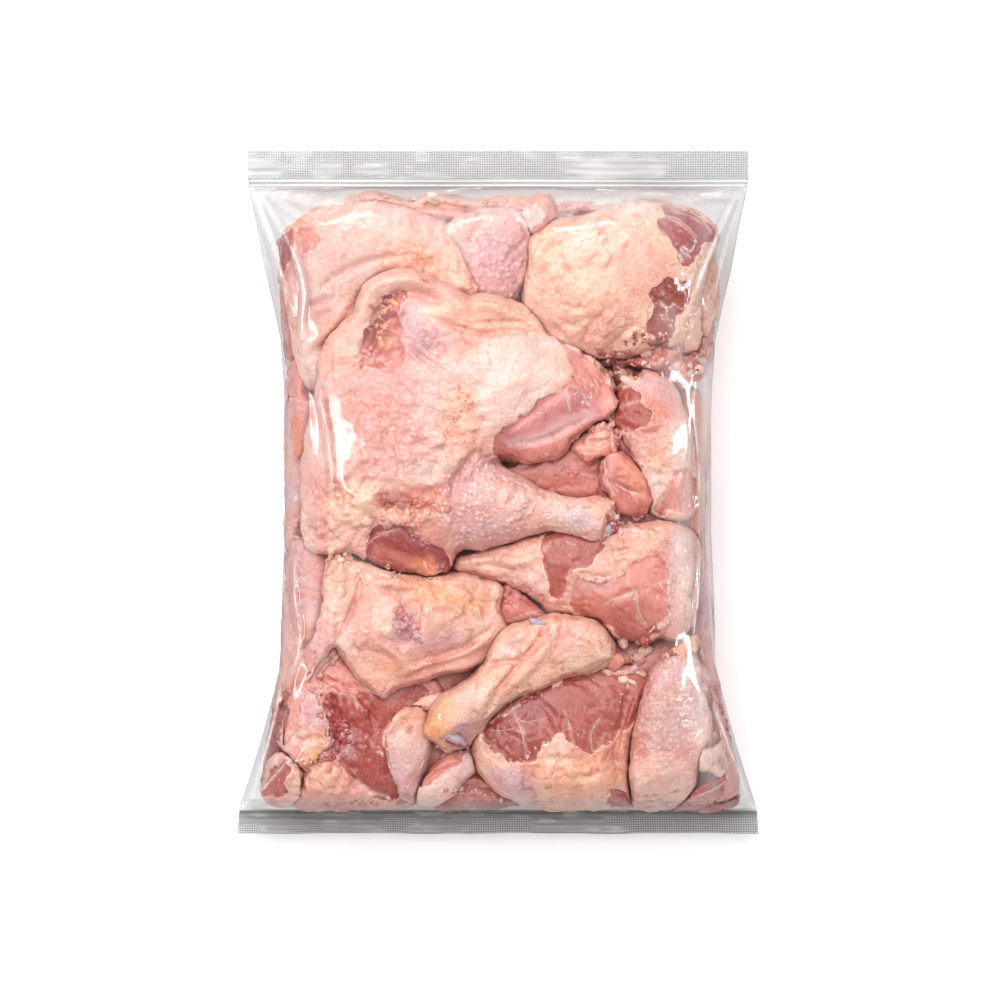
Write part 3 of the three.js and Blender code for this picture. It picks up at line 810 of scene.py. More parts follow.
TOP_END = [
    {"name": "fold_under_top_seal", "skin": "pink", "skin2": "apricot", "rim": 37, "top": 55, "above": 1,
     "outline": [(-78, 144), (-64, 149), (-53, 147), (-45, 145), (-34, 148.5), (-23, 147), (-9, 145.5),
                 (3, 147), (13, 147), (23, 146), (29, 141), (26, 132), (1, 128), (-29, 126), (-54, 130),
                 (-74, 137)],
     "folds": [(3, 2.2, [(-70, 147), (-55, 146), (-44, 143), (-30, 146), (-12, 143.5), (8, 144)]),
               (-3.5, 1.7, [(-62, 144), (-48, 141), (-34, 143), (-16, 140.5), (2, 141)]),
               (2.5, 2.5, [(-50, 138), (-36, 139), (-18, 137), (0, 138)])],
     "stains": [("rose", 0.8, 2, [(-60, 144), (-46, 142.5), (-30, 145), (-34, 141), (-46, 139),
                                  (-60, 141)]),
                ("white", 0.7, 3, [(-44, 147), (-34, 149), (-23, 147.5), (-9, 146), (-12, 142),
                                   (-40, 142)]),
                ("orange", 0.3, 3, [(-46, 143), (-20, 144), (4, 143), (4, 139), (-20, 139),
                                    (-44, 139)]),
                ("salmon", 0.8, 3, [(-56, 140), (-46, 141), (-42, 136), (-48, 131), (-56, 134)])]},
    {"name": "scrap_under_top_seal", "skin": "rose", "skin2": "salmon", "rim": 42, "top": 58,
     "outline": [(24, 139), (36, 143.5), (50, 142.5), (58, 138), (52, 132), (38, 130), (27, 132)],
     "folds": [(-3, 1.6, [(28, 137), (38, 138), (50, 137)])],
     "meats": [("salmon", [(26, 140), (40, 142), (50, 139), (44, 135), (30, 134)])]},
    {"name": "thigh_top_left", "skin": "pink", "skin2": "peach", "rim": 45, "top": 73, "wave": 1.8,
     "pored": [(0.7, 5, [(-46, 126), (-22, 128), (-6, 104), (-10, 96), (-34, 106)])],
     "outline": [(-109, 120), (-108, 125), (-103.5, 131), (-96, 137), (-88, 141), (-79, 143),
                 (-64, 144), (-49, 142), (-36, 138), (-25, 132), (-19, 123.5), (-14, 116),
                 (-7.5, 105.5), (0, 96), (2, 84), (-20, 78), (-50, 73), (-75, 58), (-90, 50), (-99, 60),
                 (-102, 77), (-104, 87), (-106, 96), (-108, 108)],
     "folds": [(-4.5, 2.0, [(-103, 134), (-99, 126), (-98, 118), (-102, 108), (-105, 100)]),
               (-2.6, 2.6, [(-96, 66), (-84, 74), (-76, 86), (-68, 97), (-56, 108), (-40, 112)]),
               (2.2, 3.0, [(-94, 72), (-82, 82), (-73, 93)]),
               (-1.8, 2.0, [(-100, 84), (-92, 92), (-82, 96)]),
               (-1.6, 2.2, [(-90, 100), (-70, 112), (-50, 116), (-34, 112)]),
               (1.2, 5.0, [(-60, 128), (-40, 124), (-22, 116)]),
               (1.8, 1.6, [(-24, 131), (-18, 122), (-13, 114), (-7, 104)])],
     "bumps": [(-60, 126, 22, 3), (-92, 96, 9, 2)],
     "lumpy": [(1.6, 3.0, 5, [(-62, 118), (-40, 126), (-14, 112), (0, 92), (-26, 96), (-50, 106)])],
     "stains": [("apricot", 0.8, 8, [(-58, 122), (-30, 124), (-14, 110), (-4, 98), (-30, 104),
                                     (-56, 108)]),
                ("orange", 0.35, 6, [(-56, 114), (-40, 118), (-30, 110), (-46, 106)]),
                ("cream", 0.7, 5, [(-34, 128), (-20, 124), (-8, 104), (-24, 104)]),
                ("amber", 0.95, 1.5, [(-101, 134), (-96, 138), (-88, 142), (-84, 141), (-93, 136),
                                      (-99, 131)]),
                ("greige", 0.7, 8, [(-92, 120), (-64, 126), (-50, 116), (-60, 100), (-74, 84),
                                    (-92, 78)]),
                ("white", 0.7, 4, [(-100, 82), (-90, 80), (-86, 58), (-96, 56)]),
                ("apricot", 0.7, 3, [(-84, 76), (-74, 90), (-70, 100), (-76, 92), (-88, 78)]),
                ("blood", 0.8, 1, [(-43, 103.5), (-38, 105), (-36, 102), (-40, 100.5)])],
     "meats": [("red", [(-110, 127), (-103, 132), (-99.5, 127), (-102, 118), (-107, 108), (-111, 114)]),
               ("salmon", [(-99, 131), (-94, 131), (-90, 126), (-94, 119), (-98, 120), (-100, 124)])]},
    {"name": "drumstick_top", "skin": "pink", "skin2": "lilac", "rim": 48, "top": 71, "pores": 0.6,
     "full": 0.6,
     "outline": [(-27, 130), (-16.5, 137), (-4, 140), (7, 139), (14, 134), (16, 126), (16, 115),
                 (14, 106), (10, 97), (6, 89), (0, 86), (-8, 94), (-12, 104), (-17, 114), (-22, 124)],
     "stains": [("grape", 0.42, 6, [(-8, 128), (8, 132), (13, 116), (10, 100), (2, 92), (-6, 106)]),
                ("pink", 0.6, 4, [(-24, 131), (-6, 138), (6, 137), (-6, 131)]),
                ("dark", 0.35, 3, [(8, 104), (12, 98), (4, 88), (0, 92)])]},
    {"name": "knuckle_top", "skin": "rose", "skin2": "pink", "rim": 50, "top": 66, "wave": 2.0,
     "outline": [(14, 142), (18, 146.5), (25, 146.5), (29, 141), (27, 134), (24, 128), (18, 126),
                 (14, 130), (13, 137)],
     "folds": [(2.4, 1.8, [(15, 144), (21, 141), (24, 134), (22, 128)]),
               (-3, 1.6, [(18, 146), (25, 141), (27, 134)]),
               (-2.5, 1.4, [(15, 140), (19, 136), (19, 129)])],
     "stains": [("blood", 0.35, 3, [(20, 140), (26, 138), (26, 130), (20, 130)])]},
    {"name": "thigh_top_right", "skin": "peach", "skin2": "cream", "rim": 47, "top": 80, "full": 0.62,
     "outline": [(16.5, 124), (19, 127), (24, 131.5), (33.5, 135.5), (45.5, 138), (56.5, 142),
                 (69.5, 144), (80.5, 144), (90, 142), (99, 138.5), (105.5, 134), (109, 128), (107, 120),
                 (103.5, 111), (100.5, 101), (99.5, 91), (100.5, 80), (99, 70), (90, 68), (80, 72),
                 (70, 68), (62.5, 66.5), (54.5, 65.5), (48, 66), (40, 69), (33, 70), (26, 75),
                 (20.5, 82), (15, 88), (12.5, 95), (13.5, 103), (16, 113.5)],
     "folds": [(-3.0, 1.8, [(42, 66), (42, 74), (46, 82), (54, 90)]),
               (2.4, 3.2, [(50, 68), (51, 76), (56, 85), (64, 92)]),
               (-2.6, 1.6, [(57, 70), (60, 77), (68, 82)]),
               (-1.8, 1.8, [(26, 82), (31, 79), (37, 74)]),
               (-1.6, 1.5, [(30, 85), (38, 82), (44, 86)]),
               (-1.2, 1.5, [(34, 92), (40, 90), (48, 94)]),
               (-2.4, 1.5, [(81, 132), (88, 130), (95, 126), (98, 121)]),
               (-2.4, 1.5, [(86, 140), (97, 136), (106, 128)])],
     "bumps": [(50, 112, 30, 3), (88, 92, 8, -3), (94, 126, 10, 1.5)],
     "stains": [("cream", 0.7, 8, [(40, 134), (70, 130), (60, 116), (36, 108), (24, 118)]),
                ("salmon", 0.3, 6, [(60, 124), (76, 122), (84, 108), (72, 92), (58, 104)]),
                ("rose", 0.5, 5, [(18, 96), (34, 92), (52, 86), (60, 74), (40, 72), (24, 82)]),
                ("apricot", 0.4, 8, [(20, 100), (44, 104), (66, 96), (60, 76), (34, 76)]),
                ("pink", 0.7, 4, [(44, 70), (48, 84), (58, 94), (66, 90), (56, 78), (54, 68)]),
                ("rose", 0.6, 2.5, [(20, 84), (28, 86), (31, 80), (27, 76)]),
                ("white", 0.5, 6, [(24, 112), (34, 122), (46, 126), (34, 112)]),
                ("pale", 0.8, 4, [(74, 142), (56, 141), (46, 137), (60, 136), (78, 134)])],
     "lumpy": [(1.3, 5.5, 4, [(26, 84), (44, 84), (58, 92), (72, 78), (60, 66), (44, 68), (30, 74)])],
     "meats": [("plum", [(78.5, 132.5), (82.5, 137), (80.5, 142), (90, 143), (99, 139.5), (106, 135.5),
                         (109.5, 129), (107.5, 124), (101, 121.5), (101, 117), (94.5, 111), (90, 114),
                         (88, 119.5), (82.5, 126)]),
               ("garnet", [(75, 97.5), (78.5, 103), (83, 105.5), (88, 105), (94.5, 102), (97, 96),
                           (94.5, 93), (89, 87.5), (88, 80), (85, 74), (78, 72), (74, 80), (76, 90)])],
     "veins": [("white", 0.54, 0.68, [(80, 137), (87, 136), (93, 132), (99, 126)]),
               ("white", 0.48, 0.68, [(89, 140), (99, 137), (107, 128)]),
               ("white", 0.48, 0.75, [(79, 131), (85, 123), (91, 114)]),
               ("white", 0.42, 0.90, [(90, 103), (96, 92), (93, 84)])]},
    {"name": "cut_end_top_right", "skin": "rose", "skin2": "red", "rim": 44, "top": 70, "above": 2,
     "outline": [(48, 66), (58, 74), (70, 78), (84, 76), (96, 84), (103, 80), (106, 68), (104, 60),
                 (97, 55), (88.5, 51), (78.5, 57), (70.5, 62), (62.5, 64), (54.5, 63)],
     "folds": [(4.5, 2.4, [(52, 66), (60, 69), (68, 74), (76, 80)]),
               (-4.5, 2.2, [(55, 63.5), (64, 66.5), (73, 68), (80, 66)]),
               (3.5, 2.6, [(74, 62), (84, 66), (90, 76)]),
               (-4.0, 1.8, [(84, 60), (92, 66), (96, 76)]),
               (3.0, 2.4, [(92, 56), (100, 62), (103, 74)])],
     "stains": [("white", 0.51, 1.12, [(68, 76), (76, 79), (77, 72), (71, 70)]),
                ("white", 0.51, 1.12, [(72, 64), (80, 67), (82, 62), (76, 60)]),
                ("amber", 0.8, 1.5, [(95, 62), (102, 64), (101, 57), (95, 57)]),
                ("steel", 0.6, 2.5, [(74, 60), (84, 64), (90, 58), (84, 54)])],
     "meats": [("red", [(50, 66), (58, 73), (68, 77), (70, 70), (62, 65), (54, 63)]),
               ("red", [(86, 82), (94, 84), (93, 74), (86, 70), (83, 75)]),
               ("flesh", [(92, 76), (99, 76), (102, 66), (97, 60), (91, 64)])],
     "veins": [("dark", 0.85, 4.0, [(53, 65), (60, 69), (66, 74)]),
               ("white", 0.54, 0.75, [(88, 80), (91, 70), (88, 60)]),
               ("white", 0.48, 0.75, [(97, 80), (99, 70), (104, 64)])]},
]

MIDDLE = [
    # gap_flesh is coloured brown as painted shade: flesh in the shadow of the pieces round it
    {"name": "gap_flesh", "skin": "brown", "rim": 42, "top": 58, "all_flesh": True, "meat": "brown",
     "outline": [(48, 67), (58, 66), (72, 64), (74, 56), (68, 50), (60, 46), (54, 56)]},
    {"name": "flesh_under_centre", "skin": "flesh", "rim": 44, "top": 66, "all_flesh": True,
     "meat": "salmon", "full": 0.55,
     "outline": [(-2, 14), (8, 12), (20, 22), (40, 28), (52, 22), (58, 10), (58, -4), (50, -10),
                 (36, -12), (16, -8), (2, -2)],
     "folds": [(-3, 1.5, [(8, 11), (16, 14), (26, 20), (36, 24)]),
               (2.5, 3, [(10, 15), (22, 20), (34, 26)])],
     "stains": [("brown", 0.45, 6, [(10, 14), (34, 22), (52, 10), (40, 0), (18, 4)])],
     "veins": [("pale", 0.8, 1.8, [(4, 10), (10, 12), (18, 17)]),
               ("white", 0.48, 0.60, [(41, 10), (48, 8), (52, 6)])]},
    {"name": "flesh_back_right", "skin": "red", "rim": 48, "top": 68, "all_flesh": True, "meat": "red",
     "outline": [(56, 33), (64, 29), (70, 23), (73, 16), (71, 9), (64, 14), (57, 19), (54, 27)]},
    {"name": "flesh_knob_right", "skin": "salmon", "rim": 52, "top": 72, "all_flesh": True,
     "meat": "salmon", "full": 0.55, "stray": 2.6,
     "lumpy": [(1.9, 7.0, 4, [(36, 20), (44, 32), (54, 36), (62, 28), (58, 14), (42, 14)])],
     "stains": [("peach", 0.7, 3, [(40, 24), (48, 31), (54, 30), (52, 22), (44, 18)]),
                ("red", 0.5, 2, [(54, 33), (60, 29), (59, 21), (55, 22)])],
     "outline": [(37, 22), (42, 28), (48.5, 33), (53, 34.5), (58, 31), (60, 24), (58.5, 19), (53, 17),
                 (47, 14), (41, 17)],
     "folds": [(-2.2, 1.2, [(42, 26), (50, 24), (57, 27)])],
     "veins": [("white", 0.42, 0.68, [(55, 30), (56, 25), (58, 21)])]},
    {"name": "flesh_end_right", "skin": "salmon", "rim": 54, "top": 75, "all_flesh": True,
     "meat": "salmon", "full": 0.55, "stray": 2.2,
     "lumpy": [(1.5, 8.0, 4, [(50, 16), (60, 22), (72, 12), (80, -2), (74, -14), (58, -12), (52, 0)])],
     "stains": [("rose", 0.6, 3, [(52, 16), (58, 18), (56, 4), (60, -8), (54, -6), (51, 6)]),
                ("red", 0.35, 4, [(58, 10), (66, 8), (68, -4), (60, -4)])],
     "outline": [(52, 15), (54.5, 19.5), (59, 20.5), (64.5, 18), (70.5, 11), (76, 4), (78, -2),
                 (74.5, -8), (73, -12), (63, -12), (58, -8), (54, -1), (51.5, 8)],
     "folds": [(-1.6, 1.3, [(58, 4), (64, 1), (71, -1)])],
     "veins": [("white", 0.54, 0.68, [(58, 4), (64, 0.5), (71, -1)]),
               ("white", 0.54, 0.75, [(52.5, 16), (53, 8), (57, -2)]),
               ("orange", 0.35, 5, [(64, 12), (70, 4)])]},
    {"name": "thigh_right", "skin": "pale", "skin2": "pink", "rim": 47, "top": 76, "full": 0.62,
     "outline": [(58.7, 50), (62, 54), (68.5, 56), (74, 60), (85, 55), (89, 50), (91, 43.5), (94, 37),
                 (96, 30), (97, 16.5), (98.5, 8.5), (99.5, -3.5), (97, -10.5), (91, -14), (82.5, -13),
                 (77, -9), (74, 1), (69, 13.5), (65, 23.5), (60, 31), (57, 34), (58, 42)],
     "folds": [(-2.2, 1.8, [(58, 34), (66, 31), (74, 29), (82, 31)]),
               (-1.8, 1.6, [(74, 2), (80, 4), (84, -4), (82, -12)]),
               (1.6, 3.0, [(70, 20), (78, 12), (80, 2)]),
               (-1.4, 1.4, [(76, 24), (80, 14), (88, 8)])],
     "stains": [("lilac", 0.75, 4, [(64, 54), (74, 58), (86, 52), (88, 42), (82, 40), (74, 46)]),
                ("flesh", 0.75, 5, [(64, 30), (80, 32), (80, 18), (68, 16)]),
                ("salmon", 0.85, 5, [(68, 47), (80, 46), (86, 38), (80, 30), (68, 31)]),
                ("white", 0.55, 5, [(70, 26), (92, 28), (94, 14), (78, 8), (70, 14)]),
                ("amber", 0.35, 4, [(76, 20), (84, 18), (84, 12), (78, 12)])],
     "lumpy": [(1.8, 4.0, 5, [(64, 26), (76, 30), (90, 24), (84, 4), (74, 4)])],
     "meats": [("red", [(57, 50), (64, 51.5), (70, 49), (71, 43), (76, 38), (74, 32), (68, 29.5),
                        (61, 30), (55, 33), (57, 41)]),
               ("salmon", [(84, 2), (88, 10), (93.8, 12.5), (97, 8.5), (98.5, 0.5), (96, -10),
                           (86.5, -8.5), (81, -11), (77, -7.5)])],
     "skins": [("lilac", [(70, 58), (84, 54), (86, 44), (80, 44), (74, 50), (68, 53)])],
     "veins": [("white", 0.48, 0.75, [(60, 42), (66, 44), (74, 44)]),
               ("pale", 0.7, 1.4, [(84, 3), (80, -6), (78, -10)]),
               ("red", 0.5, 3.0, [(60, 36), (68, 34), (74, 38)])]},
    {"name": "quarter_middle_right", "skin": "peach", "skin2": "pink", "rim": 50, "top": 77,
     "full": 0.6,
     "outline": [(-21.5, -33), (-14, -30), (-4, -27), (7, -25.5), (16, -22), (31, -18), (51, -17),
                 (61, -17), (71, -17), (82.5, -14.5), (91, -17), (97, -20.5), (100, -27), (99.5, -36.5),
                 (98.5, -50), (97.5, -61.5), (94, -69), (87, -74), (81, -72), (73.5, -74.5),
                 (63.5, -73.5), (55.5, -70.5), (51, -66), (38.5, -62.5), (26, -61), (21, -56.5),
                 (15, -52.5), (6, -47), (-4, -45), (-14, -43), (-21.5, -40)],
     "folds": [(-2.2, 1.6, [(-20, -39), (-8, -42), (4, -43)]),
               (1.8, 2.6, [(-18, -35), (-4, -34), (12, -34), (22, -30)]),
               (-1.8, 1.6, [(-14, -36), (0, -37), (12, -40)]),
               (-2.0, 1.5, [(52, -28), (60, -30), (68, -28)]),
               (-1.6, 1.4, [(40, -40), (52, -42), (62, -39)]),
               (-1.8, 1.3, [(53, -56), (60, -52), (68, -49), (69, -58), (73, -66)]),
               (-2.5, 2.0, [(84, -26), (87, -44), (86, -62), (84, -72)]),
               (1.5, 5.0, [(92, -24), (94, -44), (92, -62)])],
     "bumps": [(68, -54, 14, 2.5), (80, -20, 9, 3), (30, -30, 12, 1.5)],
     "stains": [("peach", 0.9, 5, [(-20, -34), (4, -28), (20, -32), (14, -44), (-8, -42)]),
                ("white", 0.55, 4, [(10, -30), (20, -34), (28, -46), (20, -52), (14, -42)]),
                ("lilac", 0.75, 4, [(86, -20), (98, -24), (98, -52), (90, -66), (86, -44)]),
                ("white", 0.8, 4, [(88, -24), (97, -26), (98, -54), (91, -67), (88, -46)]),
                ("cream", 0.6, 4, [(52, -24), (70, -20), (84, -20), (66, -34), (52, -38)]),
                ("orange", 0.5, 3, [(20, -58), (34, -60), (46, -64), (34, -66), (24, -63)])],
     "lumpy": [(1.3, 5.0, 4, [(-20, -32), (8, -27), (20, -32), (16, -48), (-10, -42)]),
               (1.8, 4.0, 4, [(50, -20), (76, -17), (82, -26), (62, -38), (50, -38)])],
     "meats": [("sienna", [(21, -30), (22, -23), (30, -19.5), (38.8, -20), (48, -22), (51, -28),
                           (47, -34), (43, -37.5), (36, -38), (34.5, -42), (35.5, -48), (31.5, -54.5),
                           (26, -53), (25, -43.5), (23.5, -36)]),
               ("salmon", [(38.8, -42), (46.8, -43.5), (54.8, -43.5), (62.8, -39.5), (65, -36.3),
                           (70.8, -33), (77, -32.3), (82.5, -36.3), (85, -43.5), (84.5, -57.8),
                           (82.5, -65.8), (75.5, -72), (67.5, -75.5), (60.4, -73), (54.8, -67),
                           (46.8, -64), (39.5, -62), (35.5, -57.8), (36.5, -49.8)])],
     "veins": [("white", 0.57, 0.60, [(53, -56), (57, -53), (62.8, -51.5), (68.3, -49)]),
               ("white", 0.57, 0.60, [(68.3, -49), (69, -56), (70.8, -61.8), (74, -66)]),
               ("white", 0.42, 0.68, [(64, -37), (65, -46), (72, -49), (84, -44)]),
               ("rose", 0.7, 1.4, [(36, -40), (34, -50), (30, -56)]),
               ("brown", 0.75, 5.0, [(26, -25), (36, -23), (48, -25)]),
               ("red", 0.55, 7, [(62, -62), (64, -70), (74, -70)]),
               ("lilac", 0.5, 3.5, [(38, -50), (44, -46), (54, -46)])]},
    {"name": "flesh_between", "skin": "red", "rim": 50, "top": 67, "all_flesh": True, "meat": "red",
     "outline": [(-4, -55), (-1, -48), (6, -46), (15, -51), (22, -57), (28, -62), (20, -67), (9.3, -69),
                 (0, -70)],
     "folds": [(-2, 1.4, [(-1, -52), (4, -54), (8, -50)])],
     "stains": [("salmon", 0.7, 4, [(2, -56), (14, -54), (22, -60), (14, -66), (2, -64)])],
     "veins": [("white", 0.54, 0.55, [(5, -63.5), (12, -61), (20, -59)]),
               ("rose", 0.6, 1.2, [(1, -50), (6, -53), (12, -51)])]},
]

